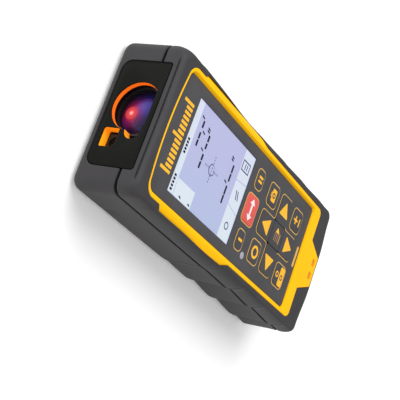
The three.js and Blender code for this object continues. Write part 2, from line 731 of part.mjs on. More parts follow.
/** A plano-convex lens with a flat on its front side and a hole for the laser. */
function addReceiverLens() {
  const ball = (lensRadius ** 2 + LENS_DOME ** 2) / (2 * LENS_DOME);
  const points = [[0, lensBack()], [lensRadius, lensBack()]];
  const steps = 5;
  for (let step = 0; step <= steps; step += 1) {
    const radius = lensRadius * (1 - step / steps);
    points.push([radius, lensApex - ball + Math.sqrt(ball ** 2 - radius ** 2)]);
  }
  const keep = block([-BODY_WIDTH, BODY_WIDTH], [0, BODY_LENGTH], [0, below(RECEIVER_FLAT + OPTICS_FIT)]);
  const hole = cylinder('y', LASER_RADIUS + OPTICS_FIT, lensBack() - OVERCUT, LENS_END,
    [LASER_X, below(LASER_DOWN)], 24);
  add('receiver_lens', cut(common(turned(points, [RECEIVER_X, receiverZ]), keep), hole), 'coated');
}

function addLaser() {
  const centre = [LASER_X, below(LASER_DOWN)];
  const face = lensApex - 0.3;
  const seat = 1;
  const tube = cylinder('y', LASER_RADIUS, face - LASER_LENGTH, face, centre, 20);
  const mouth = cylinder('y', LASER_RADIUS - 0.5, face - seat, face + OVERCUT, centre, 20);
  const lens = cylinder('y', LASER_RADIUS - 0.7, face - seat + GAP, face - GAP, centre, 20);
  add('laser_module', cut(tube, mouth), 'brass');
  add('collimator_lens', lens, 'glass');
}

function addCamera() {
  const face = insertBack - OPTICS_FIT;
  const right = RECEIVER_X - RECEIVER_RADIUS - BARREL_WALL - OPTICS_FIT;
  const left = CAMERA_X - CAMERA_WIDTH / 2;
  const z = [below(CAMERA_DOWN) - CAMERA_HEIGHT / 2, below(CAMERA_DOWN) + CAMERA_HEIGHT / 2];
  const centre = [(left + right) / 2, below(CAMERA_DOWN)];
  const seat = cylinder('y', 2.3, face - 1, face + OVERCUT, centre, 24);
  add('camera_module', cut(block([left, right], [face - 6, face], z), seat), 'black');
  add('camera_lens', cylinder('y', 2, face - 0.8, face - 0.1, centre, 24), 'glass');
}

function addOpticsFrame() {
  const high = barrelFace - 1.2;
  const low = high - 1.6;
  const plate = prismAlongY(roundedRectangle(-WINDOW_HALF + 1, WINDOW_HALF - 1, below(WINDOW_BACK - 0.6),
    below(RECEIVER_FLAT - BARREL_WALL - 0.7), 1.5), low, high);
  const barrelHole = flatted(RECEIVER_RADIUS + BARREL_WALL + OPTICS_FIT, low - OVERCUT, high + OVERCUT,
    RECEIVER_FLAT - BARREL_WALL - OPTICS_FIT);
  const edge = RECEIVER_X - RECEIVER_RADIUS - BARREL_WALL;
  const cameraHole = block([CAMERA_X - CAMERA_WIDTH / 2 - OPTICS_FIT, edge], [low - OVERCUT, high + OVERCUT],
    [below(CAMERA_DOWN) - CAMERA_HEIGHT / 2 - OPTICS_FIT, below(CAMERA_DOWN) + CAMERA_HEIGHT / 2 + OPTICS_FIT]);
  add('optics_frame', cut(plate, barrelHole, cameraHole), 'panel');
}

function addDetectorBoard() {
  const y = barrelFace - BARREL_LENGTH - BARREL_TAPER - BARREL_NECK - GAP;
  const board = block([RECEIVER_X - 10, RECEIVER_X + 10], [y - BOARD_THICKNESS, y], [below(22.5), below(8.6)]);
  const can = cylinder('y', 2.5, y - GAP, y + 2.5, [RECEIVER_X, receiverZ], 24);
  add('detector_board', join(board, can), 'board');
}

// ---------------------------------------------------------------- electronics

function addMainBoard() {
  const high = below(BOARD_DEPTH);
  const low = high - BOARD_THICKNESS;
  const board = prism(roundedRectangle(-BOARD_HALF, BOARD_HALF, down(BOARD_BOTTOM) + 1.5,
    down(BOARD_TOP), 2), low, high);
  const chips = [
    block([-14, -4], [down(46), down(36)], [low - 1.2, low + GAP]),
    block([2, 8], [down(44), down(36)], [low - 1, low + GAP]),
    block([-20, -16], [down(62), down(54)], [low - 0.8, low + GAP]),
  ];
  add('main_board', join(board, ...chips), 'board');
  add('buzzer', cylinder('z', BUZZER_RADIUS, low - GAP - BUZZER_HEIGHT, low - GAP, [17, down(44)], 24), 'black');
}

// ---------------------------------------------------------------- batteries

const cellZ = CELL_FLOOR + CELL_RADIUS;
const bayHalf = CELL_SPACING / 2 + CELL_RADIUS + BAY_CLEAR;
const cellSpan = (CELL_LENGTH + CELL_NUB) / 2;
const bayLow = down(CELL_CENTRE) - cellSpan - CONTACT_ROOM;
const bayHigh = down(CELL_CENTRE) + cellSpan + CONTACT_ROOM;
const bayTop = cellZ + CELL_RADIUS + BAY_HEADROOM;

/** The bay's walls and ceiling, before it is hollowed. */
function bayBlock() {
  return block([-bayHalf - BAY_WALL, bayHalf + BAY_WALL], [bayLow - BAY_WALL, bayHigh + BAY_WALL],
    [WALL - GAP, bayTop + BAY_WALL]);
}

/** The bay itself, the seat of the battery cover and the holes for its hinge stubs. */
function bayCuts() {
  const lap = COVER_LAP + COVER_FIT;
  const bay = block([-bayHalf, bayHalf], [bayLow, bayHigh], [-OVERCUT, bayTop]);
  const seat = block([-bayHalf - lap, bayHalf + lap], [bayLow - lap, bayHigh + lap],
    [-OVERCUT, COVER_SINK + COVER_THICKNESS + 0.1]);
  const reach = bayHalf + COVER_LAP + COVER_STUB_LENGTH + COVER_FIT;
  const stubs = cylinder('x', COVER_STUB_RADIUS + PIN_FIT * 2, -reach, reach, coverHinge(), 16);
  return [bay, seat, stubs];
}

/** The y and z of the battery cover's hinge line. */
function coverHinge() {
  return [bayLow - COVER_LAP + COVER_THICKNESS / 2, COVER_SINK + COVER_THICKNESS / 2];
}

function addBatteryCover() {
  const [y, z] = coverHinge();
  const radius = COVER_THICKNESS / 2;
  const far = bayHigh + COVER_LAP;
  const half = bayHalf + COVER_LAP;
  const profile = new THREE.Shape();
  profile.moveTo(far, z + radius);
  profile.absarc(y, z, radius, Math.PI / 2, Math.PI * 1.5);
  profile.lineTo(far, z - radius);
  const plate = prismAlongX(profile, -half, half);
  const stubs = cylinder('x', COVER_STUB_RADIUS, -half - COVER_STUB_LENGTH, half + COVER_STUB_LENGTH, [y, z], 16);
  const notch = block([-LATCH_WIDTH / 2 - COVER_FIT, LATCH_WIDTH / 2 + COVER_FIT],
    [far - LATCH_LENGTH - LATCH_TRAVEL - COVER_FIT, far + OVERCUT], [-OVERCUT, COVER_THICKNESS * 2]);
  add('battery_cover', cut(join(plate, stubs), notch), 'rubber');
  const latch = block([-LATCH_WIDTH / 2, LATCH_WIDTH / 2], [far - LATCH_LENGTH, far],
    [COVER_SINK, COVER_SINK + COVER_THICKNESS]);
  const groove = block([-LATCH_WIDTH / 2 + 1.5, LATCH_WIDTH / 2 - 1.5],
    [far - LATCH_LENGTH / 2 - 0.4, far - LATCH_LENGTH / 2 + 0.4], [-OVERCUT, COVER_SINK + 0.5]);
  add('cover_latch', cut(latch, groove), 'yellow');
}

/** One cell, with its button end towards +Y or -Y. */
function addCell(name, x, way) {
  const middle = down(CELL_CENTRE);
  const base = -cellSpan;
  const shoulder = base + CELL_LENGTH;
  const points = [[0, base], [CELL_RADIUS - 0.5, base], [CELL_RADIUS, base + 0.5],
    [CELL_RADIUS, shoulder - 0.5], [CELL_RADIUS - 0.5, shoulder], [CELL_NUB_RADIUS, shoulder],
    [CELL_NUB_RADIUS, cellSpan], [0, cellSpan]];
  const cell = turned(points, [0, 0], 20);
  if (way < 0) {
    cell.rotateZ(Math.PI);
  }
  add(name, cell.translate(x, middle, cellZ), 'cell');
}

/** A flat coil of wire that narrows from the wall to the cell. */
class ContactSpring extends THREE.Curve {
  constructor(x, wall, way) {
    super();
    this.x = x;
    this.wall = wall;
    this.way = way;
  }

  getPoint(t) {
    const angle = t * SPRING_TURNS * 2 * Math.PI;
    const radius = 4.5 - 2.3 * t;
    const height = SPRING_WIRE + GAP + t * (CONTACT_ROOM - 2 * (SPRING_WIRE + GAP));
    return new THREE.Vector3(this.x + radius * Math.cos(angle), this.wall + this.way * height,
      cellZ + radius * Math.sin(angle));
  }
}

function addContacts(number, x, springWall, springWay, plateWall, plateWay) {
  const wire = new THREE.Shape();
  wire.absarc(0, 0, SPRING_WIRE, 0, Math.PI * 2);
  const coil = new THREE.ExtrudeGeometry(wire, {
    steps: 24, curveSegments: 3, extrudePath: new ContactSpring(x, springWall, springWay),
  });
  add(`contact_spring_${number}`, coil, 'steel');
  const from = plateWall + plateWay * GAP;
  const to = from + plateWay * CONTACT_PLATE;
  const tip = from + plateWay * (CONTACT_ROOM - 2 * GAP);
  const plate = block([x - 5, x + 5], [Math.min(from, to), Math.max(from, to)], [cellZ - 5, cellZ + 5]);
  const pip = cylinder('y', 2, Math.min(from, tip), Math.max(from, tip), [x, cellZ], 20);
  add(`contact_plate_${number}`, join(plate, pip), 'steel');
}

// ---------------------------------------------------------------- end piece

const pieceY = BASE_END + PIECE_HINGE;
const pieceZ = PIECE_HINGE_UP;
const pieceTip = pieceY + PIECE_LENGTH;

/** The thick floor that the folded end piece lies in. */
function pieceBlock() {
  const half = PIECE_WIDTH / 2 + PIECE_FIT + PIN_OVERHANG + BAY_WALL;
  const roof = pieceZ + PIECE_ROOT_RADIUS + PIECE_FIT + BAY_WALL;
  return common(roundedPrism(bodyOutline(0), 0, BODY_THICKNESS, BACK_EDGE),
    block([-half, half], [BASE_END - OVERCUT, bayLow - GAP], [-OVERCUT, roof]));
}

/** The end piece's recess, open at the base, and the holes for its pin. */
function pieceCuts() {
  const half = PIECE_WIDTH / 2 + PIECE_FIT;
  const rootReach = PIECE_ROOT_RADIUS + PIECE_FIT;
  const tab = block([-half, half], [BASE_END - OVERCUT, pieceTip + PIECE_FIT],
    [-OVERCUT, pieceZ + PIECE_THICKNESS / 2 + PIECE_FIT]);
  const root = block([-half, half], [BASE_END - OVERCUT, pieceY + rootReach], [-OVERCUT, pieceZ + rootReach]);
  const pin = cylinder('x', PIN_RADIUS + PIN_FIT, -half - PIN_OVERHANG, half + PIN_OVERHANG, [pieceY, pieceZ], 20);
  return [tab, root, pin];
}

function addEndPiece() {
  const half = PIECE_WIDTH / 2;
  const tab = roundedRectangle(-half, half, pieceY, pieceTip, 1.5);
  const tabSlab = prism(tab, pieceZ - PIECE_THICKNESS / 2, pieceZ + PIECE_THICKNESS / 2);
  const root = cylinder('x', PIECE_ROOT_RADIUS, -half, half, [pieceY, pieceZ], 20);
  const bore = cylinder('x', PIN_RADIUS + PIN_FIT, -half - OVERCUT, half + OVERCUT, [pieceY, pieceZ], 20);
  const thumb = cylinder('x', 2, -half / 2, half / 2, [pieceTip - 2.5, pieceZ - PIECE_THICKNESS / 2 - 1.2], 20);
  add('end_piece', cut(join(tabSlab, root), bore, thumb), 'yellow');
  const reach = half + PIECE_FIT + PIN_OVERHANG - GAP;
  add('end_piece_pin', cylinder('x', PIN_RADIUS, -reach, reach, [pieceY, pieceZ], 20), 'steel');
}

// ---------------------------------------------------------------- back fittings

const tripodCentre = [0, down(TRIPOD_DOWN)];

function tripodBoss() {
  return cylinder('z', TRIPOD_RADIUS + GAP + BAY_WALL, WALL - GAP, TRIPOD_HEIGHT, tripodCentre);
}

function tripodHole() {
  return cylinder('z', TRIPOD_RADIUS + GAP, -OVERCUT, TRIPOD_HEIGHT + OVERCUT, tripodCentre);
}

function addTripodInsert() {
  const body = cylinder('z', TRIPOD_RADIUS, 0, TRIPOD_HEIGHT, tripodCentre);
  const bore = cylinder('z', TRIPOD_BORE, -OVERCUT, TRIPOD_DEPTH, tripodCentre);
  add('tripod_insert', cut(body, bore), 'brass');
}

function screwTip() {
  return SCREW_SINK + SCREW_LENGTH;
}

function addScrews() {
  SCREW_PLACES.forEach((place, index) => {
    const centre = [place.x, down(place.down)];
    const head = cylinder('z', SCREW_HEAD_RADIUS, SCREW_SINK - GAP, SCREW_SINK + SCREW_HEAD - GAP, centre, 16);
    const shank = cylinder('z', SCREW_RADIUS, SCREW_SINK, screwTip(), centre, 12);
    const slotLong = block([place.x - 1.4, place.x + 1.4], [centre[1] - 0.3, centre[1] + 0.3],
      [0, SCREW_SINK + 0.5]);
    const slotWide = block([place.x - 0.3, place.x + 0.3], [centre[1] - 1.4, centre[1] + 1.4],
      [0, SCREW_SINK + 0.5]);
    add(`case_screw_${index + 1}`, cut(join(head, shank), slotLong, slotWide), 'steel');
  });
}

// ---------------------------------------------------------------- build

addFrontShell();
addBackShell();
addSeamGasket();
addBezel();
addKeypadPanel();
addScreen();
addPlainKeys();
addCrossKeys();
addKeyMat();
addWindow();
addApertureInsert();
addBarrel();
addReceiverLens();
addLaser();
addCamera();
addOpticsFrame();
addDetectorBoard();
addMainBoard();
addBatteryCover();
addCell('battery_1', -CELL_SPACING / 2, -1);
addCell('battery_2', CELL_SPACING / 2, 1);
addContacts(1, -CELL_SPACING / 2, bayHigh, -1, bayLow, 1);
addContacts(2, CELL_SPACING / 2, bayLow, 1, bayHigh, -1);
addEndPiece();
addTripodInsert();
addScrews();

export default meter;
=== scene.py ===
"""The looks of a hand-held laser distance meter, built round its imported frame.

Sizes are in millimetres in this file's own sums and become metres when a mesh is made.
+X is right across the screen, +Y is to the lens end, +Z comes out of the screen and the back lies on z = 0.
"""

import math

import bmesh
import bpy
import numpy as np
from mathutils import Matrix, Vector


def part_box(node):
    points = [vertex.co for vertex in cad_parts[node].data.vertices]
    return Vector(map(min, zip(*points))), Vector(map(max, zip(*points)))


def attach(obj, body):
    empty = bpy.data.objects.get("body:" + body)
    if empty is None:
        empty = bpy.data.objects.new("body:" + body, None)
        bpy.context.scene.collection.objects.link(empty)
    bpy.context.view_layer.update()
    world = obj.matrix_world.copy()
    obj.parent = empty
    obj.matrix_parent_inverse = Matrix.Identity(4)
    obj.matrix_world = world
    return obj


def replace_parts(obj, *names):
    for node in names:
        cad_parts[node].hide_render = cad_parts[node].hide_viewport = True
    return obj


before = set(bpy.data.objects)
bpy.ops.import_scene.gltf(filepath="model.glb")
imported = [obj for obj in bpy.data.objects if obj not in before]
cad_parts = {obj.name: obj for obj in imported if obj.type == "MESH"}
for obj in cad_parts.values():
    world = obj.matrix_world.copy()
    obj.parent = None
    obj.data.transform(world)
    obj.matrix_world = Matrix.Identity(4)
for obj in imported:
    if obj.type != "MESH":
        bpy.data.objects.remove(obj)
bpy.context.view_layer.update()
MM = 0.001

# ---------------------------------------------------------------- places taken from the frame


def box(node):
    """A CAD node's lowest and highest corners, in millimetres."""
    low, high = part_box(node)
    return np.array(low) / MM, np.array(high) / MM


SHELL_LOW, _ = box("back_shell")
_, SHELL_HIGH = box("front_shell")
HALF_WIDTH = SHELL_HIGH[0]
LENS_END = SHELL_HIGH[1]
BASE_END = SHELL_LOW[1]
FRONT = SHELL_HIGH[2]
BEZEL_TOP = box("bezel")[1][2]
PANEL_TOP = box("keypad_panel")[1][2]
PANEL_LOW = box("keypad_panel")[0][2]
KEY_TOP = box("key_f1")[1][2]
KEY_LOW = box("key_f1")[0][2]


def down(distance):
    """The y of a point at this distance from the lens end."""
    return LENS_END - distance


def below(depth):
    """The z of a point at this depth below the keypad panel."""
    return PANEL_TOP - depth


# ---------------------------------------------------------------- camera, floor and lights

CAMERA_PLACE = (-0.13631, 0.36114, 0.24812)
CAMERA_RIGHT = Vector((0.32485, -0.44140, 0.83644))
CAMERA_UP = Vector((0.89758, 0.42259, -0.12559))
CAMERA_FORWARD = Vector((0.29804, -0.79157, -0.53347))
CAMERA_LENS = 102.16
CAMERA_SENSOR = 36


def add_camera():
    data = bpy.data.cameras.new("camera")
    data.lens = CAMERA_LENS
    data.sensor_width = CAMERA_SENSOR
    data.clip_start = 0.01
    data.clip_end = 20
    camera = bpy.data.objects.new("camera", data)
    bpy.context.collection.objects.link(camera)
    turn = Matrix((CAMERA_RIGHT, CAMERA_UP, -CAMERA_FORWARD)).transposed()
    camera.matrix_world = Matrix.Translation(CAMERA_PLACE) @ turn.to_4x4()
    bpy.context.scene.camera = camera


def add_area_light(name, place, target, size, power, colour=(1, 1, 1)):
    data = bpy.data.lights.new(name, "AREA")
    data.shape = "DISK"
    data.size = size
    data.energy = power
    data.color = colour
    light = bpy.data.objects.new(name, data)
    bpy.context.collection.objects.link(light)
    direction = Vector(target) - Vector(place)
    light.location = place
    light.rotation_mode = "QUATERNION"
    light.rotation_quaternion = direction.to_track_quat("-Z", "Y")


def add_stage():
    """A wide pale floor, soft light from above and a pale sky."""
    mesh = bpy.data.meshes.new("floor")
    reach = 3.0
    mesh.from_pydata([(-reach, -reach, 0), (reach, -reach, 0), (reach, reach, 0), (-reach, reach, 0)], [],
                     [(0, 1, 2, 3)])
    floor = bpy.data.objects.new("floor", mesh)
    floor.location.z = -0.0002
    bpy.context.collection.objects.link(floor)
    floor.data.materials.append(plain_finish("floor_paper", (0.97, 0.97, 0.975), 0.9, emission_strength=0.15))
    world = bpy.data.worlds.new("studio")
    world.use_nodes = True
    world.node_tree.nodes["Background"].inputs["Color"].default_value = (1, 1, 1, 1)
    world.node_tree.nodes["Background"].inputs["Strength"].default_value = 0.56
    bpy.context.scene.world = world
    bpy.context.scene.view_settings.view_transform = "Standard"
    centre = (0, 0, 0.01)
    add_area_light("key_light", (0.55, 0.35, 0.9), centre, 0.9, 8)
    add_area_light("end_light", (-0.1, 1.0, 0.45), centre, 0.5, 2.0)
    add_area_light("side_light", (-0.9, 0.15, 0.35), centre, 0.6, 0.6, (1.0, 0.82, 0.66))


# ---------------------------------------------------------------- materials


def new_finish(name):
    """An empty node material with its shader and the nodes it reads places from."""
    material = bpy.data.materials.new(name)
    material.use_nodes = True
    nodes = material.node_tree.nodes
    return material, nodes, material.node_tree.links, nodes["Principled BSDF"]


def plain_finish(name, colour, roughness, **sockets):
    material, _, _, shader = new_finish(name)
    shader.inputs["Base Color"].default_value = (*colour, 1)
    shader.inputs["Roughness"].default_value = roughness
    set_sockets(shader, sockets)
    return material


def set_sockets(shader, sockets):
    """Sets uniform values straight on the shader: coat_weight=0.3 sets Coat Weight."""
    for key, value in sockets.items():
        shader.inputs[key.replace("_", " ").title().replace("Ior", "IOR")].default_value = value


def grained(name, colour, roughness, grain=0.35, depth=0.06, mottle=0.12, **sockets):
    """Moulded plastic or rubber: a fine grain in the bump, and slow changes of tone and gloss."""
    material, nodes, links, shader = new_finish(name)
    place = nodes.new("ShaderNodeTexCoord")
    fine = nodes.new("ShaderNodeTexNoise")
    fine.inputs["Scale"].default_value = 1 / (grain * MM)
    fine.inputs["Detail"].default_value = 3
    slow = nodes.new("ShaderNodeTexNoise")
    slow.inputs["Scale"].default_value = 90
    slow.inputs["Detail"].default_value = 4
    links.new(place.outputs["Object"], fine.inputs["Vector"])
    links.new(place.outputs["Object"], slow.inputs["Vector"])
    tone = nodes.new("ShaderNodeValToRGB")
    tone.color_ramp.elements[0].position = 0.3
    tone.color_ramp.elements[1].position = 0.7
    tone.color_ramp.elements[0].color = (*[c * (1 - mottle) for c in colour], 1)
    tone.color_ramp.elements[1].color = (*[min(1, c * (1 + mottle)) for c in colour], 1)
    links.new(slow.outputs["Fac"], tone.inputs["Fac"])
    links.new(tone.outputs["Color"], shader.inputs["Base Color"])
    gloss = nodes.new("ShaderNodeMapRange")
    gloss.inputs["To Min"].default_value = roughness - 0.06
    gloss.inputs["To Max"].default_value = roughness + 0.06
    links.new(slow.outputs["Fac"], gloss.inputs["Value"])
    links.new(gloss.outputs["Result"], shader.inputs["Roughness"])
    bump = nodes.new("ShaderNodeBump")
    bump.inputs["Strength"].default_value = 0.5
    bump.inputs["Distance"].default_value = depth * MM
    links.new(fine.outputs["Fac"], bump.inputs["Height"])
    links.new(bump.outputs["Normal"], shader.inputs["Normal"])
    set_sockets(shader, sockets)
    return material


def metal(name, colour, roughness, axis=1):
    """Drawn or turned metal: fine streaks across one axis in the gloss and the bump."""
    material, nodes, links, shader = new_finish(name)
    place = nodes.new("ShaderNodeTexCoord")
    stretch = nodes.new("ShaderNodeMapping")
    scale = [2500.0, 2500.0, 2500.0]
    scale[axis] = 150.0
    stretch.inputs["Scale"].default_value = scale
    streaks = nodes.new("ShaderNodeTexNoise")
    streaks.inputs["Scale"].default_value = 1
    links.new(place.outputs["Object"], stretch.inputs["Vector"])
    links.new(stretch.outputs["Vector"], streaks.inputs["Vector"])
    gloss = nodes.new("ShaderNodeMapRange")
    gloss.inputs["To Min"].default_value = roughness - 0.1
    gloss.inputs["To Max"].default_value = roughness + 0.12
    links.new(streaks.outputs["Fac"], gloss.inputs["Value"])
    links.new(gloss.outputs["Result"], shader.inputs["Roughness"])
    bump = nodes.new("ShaderNodeBump")
    bump.inputs["Strength"].default_value = 0.3
    bump.inputs["Distance"].default_value = 0.02 * MM
    links.new(streaks.outputs["Fac"], bump.inputs["Height"])
    links.new(bump.outputs["Normal"], shader.inputs["Normal"])
    shader.inputs["Base Color"].default_value = (*colour, 1)
    shader.inputs["Metallic"].default_value = 1
    return material


def clear_glass(name):
    """Thin clear glass that lets most light straight through, with faint smudges in its reflections."""
    material, nodes, links, shader = new_finish(name)
    place = nodes.new("ShaderNodeTexCoord")
    smudge = nodes.new("ShaderNodeTexNoise")
    smudge.inputs["Scale"].default_value = 120
    links.new(place.outputs["Object"], smudge.inputs["Vector"])
    gloss = nodes.new("ShaderNodeMapRange")
    gloss.inputs["From Min"].default_value = 0.45
    gloss.inputs["From Max"].default_value = 0.8
    gloss.inputs["To Min"].default_value = 0.04
    gloss.inputs["To Max"].default_value = 0.2
    links.new(smudge.outputs["Fac"], gloss.inputs["Value"])
    links.new(gloss.outputs["Result"], shader.inputs["Roughness"])
    shader.inputs["Base Color"].default_value = (0, 0, 0, 1)
    shader.inputs["Alpha"].default_value = 0.05
    shader.inputs["Specular IOR Level"].default_value = 0.3
    return material


RUBBER = grained("casing_rubber", (0.040, 0.038, 0.041), 0.6, grain=0.3, depth=0.05, specular_ior_level=0.32)
# The yellow plastic also gives off a faint light of its own: a painted glow that brightens it.
YELLOW = grained("bezel_yellow", (1.0, 0.50, 0.0), 0.5, grain=0.5, depth=0.02, mottle=0.03,
                 specular_ior_level=0.1, emission_color=(1.0, 0.50, 0.0, 1), emission_strength=0.14)
PANEL = grained("panel_plastic", (0.058, 0.058, 0.064), 0.55, grain=0.25, depth=0.03, specular_ior_level=0.35)
KEY = grained("key_rubber", (0.054, 0.054, 0.060), 0.6, grain=0.25, depth=0.03, specular_ior_level=0.35)
MEASURE_KEY = grained("measure_key_rubber", (0.72, 0.09, 0.075), 0.55, grain=0.3, depth=0.03, mottle=0.05)
PRINT_GOLD = grained("printed_gold", (0.74, 0.44, 0.10), 0.5, grain=0.6, depth=0.01, mottle=0.06)
PRINT_YELLOW = grained("printed_yellow", (1.0, 0.50, 0.01), 0.5, grain=0.6, depth=0.01, mottle=0.03)
PRINT_BROWN = grained("printed_brown", (0.42, 0.22, 0.08), 0.5, grain=0.6, depth=0.01, mottle=0.06)
# Darker orange for the floors of the two nicks in the tongue: painted shade in the recesses.
NICK_PAINTED_SHADE = grained("nick_painted_shade", (0.78, 0.25, 0.004), 0.5, grain=0.5, depth=0.02, mottle=0.05)
PRINT_WHITE = grained("printed_white", (0.85, 0.8, 0.8), 0.5, grain=0.6, depth=0.01, mottle=0.03)
BLACK_GLOSS = grained("black_gloss", (0.005, 0.006, 0.004), 0.3, grain=2.0, depth=0.004, specular_ior_level=0.09)
SENSOR = grained("sensor_lens", (0.36, 0.36, 0.42), 0.3, grain=0.8, depth=0.01, mottle=0.06)
BLACK = grained("black_plastic", (0.008, 0.008, 0.008), 0.55, grain=0.4, depth=0.03)
GASKET = grained("gasket_rubber", (0.002, 0.002, 0.002), 0.8, specular_ior_level=0.1)
STEEL = metal("bright_steel", (0.55, 0.55, 0.57), 0.3)
BRASS = metal("brass", (0.75, 0.5, 0.17), 0.3)
BOARD = grained("circuit_board", (0.01, 0.09, 0.04), 0.35, grain=1.2, depth=0.05, mottle=0.3)
SILICONE = grained("silicone", (0.2, 0.2, 0.21), 0.7)
CELL = grained("cell_jacket", (0.03, 0.13, 0.42), 0.3, grain=1.0, depth=0.01)
GLASS = clear_glass("cover_glass")

# ---------------------------------------------------------------- meshes


def link(name, mesh, material, body, smooth=35):
    """A finished piece at the origin, with its finish, riding on a body."""
    piece = bpy.data.objects.new(name, mesh)
    bpy.context.collection.objects.link(piece)
    mesh.materials.clear()
    mesh.materials.append(material)
    mesh.shade_smooth()
    mesh.set_sharp_from_angle(angle=math.radians(smooth))
    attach(piece, body)
    return piece


def tidy_mesh(mesh, merge=1e-7):
    """Merges doubles and turns every face outwards."""
    work = bmesh.new()
    work.from_mesh(mesh)
    bmesh.ops.remove_doubles(work, verts=work.verts, dist=merge)
    bmesh.ops.recalc_face_normals(work, faces=work.faces)
    work.to_mesh(mesh)
    work.free()
    return mesh


def grid_mesh(name, points, wrap_u=False, wrap_v=False, cap_v=False):
    """A surface through a grid of points [u, v, 3] in millimetres: each four neighbours make one face.

    wrap joins the last row to the first, and cap_v closes the first and last v with one flat face each.
    """
    count_u, count_v = points.shape[:2]
    index = np.arange(count_u * count_v).reshape(count_u, count_v)
    if wrap_u:
        index = np.vstack([index, index[:1]])
    if wrap_v:
        index = np.hstack([index, index[:, :1]])
    faces = np.stack([index[:-1, :-1], index[1:, :-1], index[1:, 1:], index[:-1, 1:]], axis=-1).reshape(-1, 4)
    faces = faces.tolist()
    if cap_v:
        faces.append(index[:count_u, 0].tolist())
        faces.append(index[:count_u, -1][::-1].tolist())
    mesh = bpy.data.meshes.new(name)
    mesh.from_pydata((points.reshape(-1, 3) * MM).tolist(), [], faces)
    return tidy_mesh(mesh)


def rounded(corners, radii, steps=8):
    """A closed outline through corners, each one turned by an arc of its own radius.

    The arc starts and ends at radius * tan(half the turn) from the corner, and is round its centre.
    """
    corners = np.array(corners, float)
    radii = np.broadcast_to(np.array(radii, float), len(corners))
    before = np.roll(corners, 1, axis=0) - corners
    after = np.roll(corners, -1, axis=0) - corners
    before /= np.linalg.norm(before, axis=1, keepdims=True)
    after /= np.linalg.norm(after, axis=1, keepdims=True)
    half = np.arccos(np.clip((before * after).sum(1), -1, 1)) / 2
    middle = before + after
    middle /= np.maximum(np.linalg.norm(middle, axis=1, keepdims=True), 1e-9)
    centre = corners + middle * (radii / np.sin(half))[:, None]
    start = corners + before * (radii / np.tan(half))[:, None] - centre
    end = corners + after * (radii / np.tan(half))[:, None] - centre
    sweep = np.arctan2(start[:, 0] * end[:, 1] - start[:, 1] * end[:, 0], (start * end).sum(1))
    t = np.linspace(0, 1, steps + 1)[None, :] * sweep[:, None]
    x = start[:, :1] * np.cos(t) - start[:, 1:] * np.sin(t) + centre[:, :1]
    y = start[:, :1] * np.sin(t) + start[:, 1:] * np.cos(t) + centre[:, 1:]
    return np.stack([x, y], axis=-1).reshape(-1, 2)


def rectangle(x0, x1, y0, y1, radius=0.0, steps=6):
    if radius <= 0:
        return np.array([(x0, y0), (x1, y0), (x1, y1), (x0, y1)], float)
    return rounded([(x0, y0), (x1, y0), (x1, y1), (x0, y1)], radius, steps)


def grown(outline, distance):
    """An outline moved outwards: each point goes along the mean of its two edges' normals, mitred."""
    edge = np.roll(outline, -1, axis=0) - outline
    normal = np.stack([edge[:, 1], -edge[:, 0]], 1) / np.linalg.norm(edge, axis=1, keepdims=True)
    mean = normal + np.roll(normal, 1, axis=0)
    mean /= np.linalg.norm(mean, axis=1, keepdims=True)
    mitre = np.clip((mean * normal).sum(1), 0.5, 1)
    area = (outline[:, 0] * np.roll(outline[:, 1], -1) - outline[:, 1] * np.roll(outline[:, 0], -1)).sum()
    return outline + np.sign(area) * mean * (distance / mitre)[:, None]


def circle(x, y, radius, sides=48):
    angle = np.linspace(0, 2 * math.pi, sides, endpoint=False)
    return np.stack([x + radius * np.cos(angle), y + radius * np.sin(angle)], axis=-1)


def simplified(outline):
    """The same outline without points that repeat or that lie on a straight run."""
    outline = outline[np.linalg.norm(np.roll(outline, -1, axis=0) - outline, axis=1) > 0.02]
    before = outline - np.roll(outline, 1, axis=0)
    after = np.roll(outline, -1, axis=0) - outline
    turn = before[:, 0] * after[:, 1] - before[:, 1] * after[:, 0]
    return outline[np.abs(turn) > 0.002 * np.linalg.norm(before, axis=1) * np.linalg.norm(after, axis=1)]


def slab_mesh(name, outlines, low, high, bevel=0.0, along="z"):
    """A flat piece: outlines filled by the even-odd rule, run from low to high, with rounded edges.

    along says which axis the thickness runs on; outlines are in x and y for z, in x and z for y.
    """
    curve = bpy.data.curves.new(name, "CURVE")
    curve.dimensions = "2D"
    curve.fill_mode = "BOTH"
    curve.extrude = (high - low) / 2 - bevel
    curve.bevel_depth = bevel
    curve.bevel_resolution = 2
    curve.offset = -bevel
    for outline in map(simplified, outlines):
        spline = curve.splines.new("POLY")
        spline.points.add(len(outline) - 1)
        flat = np.hstack([outline, np.zeros((len(outline), 1)), np.ones((len(outline), 1))])
        spline.points.foreach_set("co", flat.ravel())
        spline.use_cyclic_u = True
    holder = bpy.data.objects.new(name, curve)
    bpy.context.collection.objects.link(holder)
    mesh = bpy.data.meshes.new_from_object(holder.evaluated_get(bpy.context.evaluated_depsgraph_get()))
    bpy.data.objects.remove(holder)
    bpy.data.curves.remove(curve)
    points = np.empty(len(mesh.vertices) * 3)
    mesh.vertices.foreach_get("co", points)
    points = points.reshape(-1, 3)
    middle = (low + high) / 2
    if along == "z":
        points[:, 2] += middle
    else:
        points = np.stack([points[:, 0], middle - points[:, 2], points[:, 1]], axis=-1)
    mesh.vertices.foreach_set("co", (points * MM).ravel())
    mesh.update()
    return tidy_mesh(mesh, 1e-6)


def slab(name, outlines, low, high, material, body="root", bevel=0.0, along="z"):
    return link(name, slab_mesh(name, outlines, low, high, bevel, along), material, body)


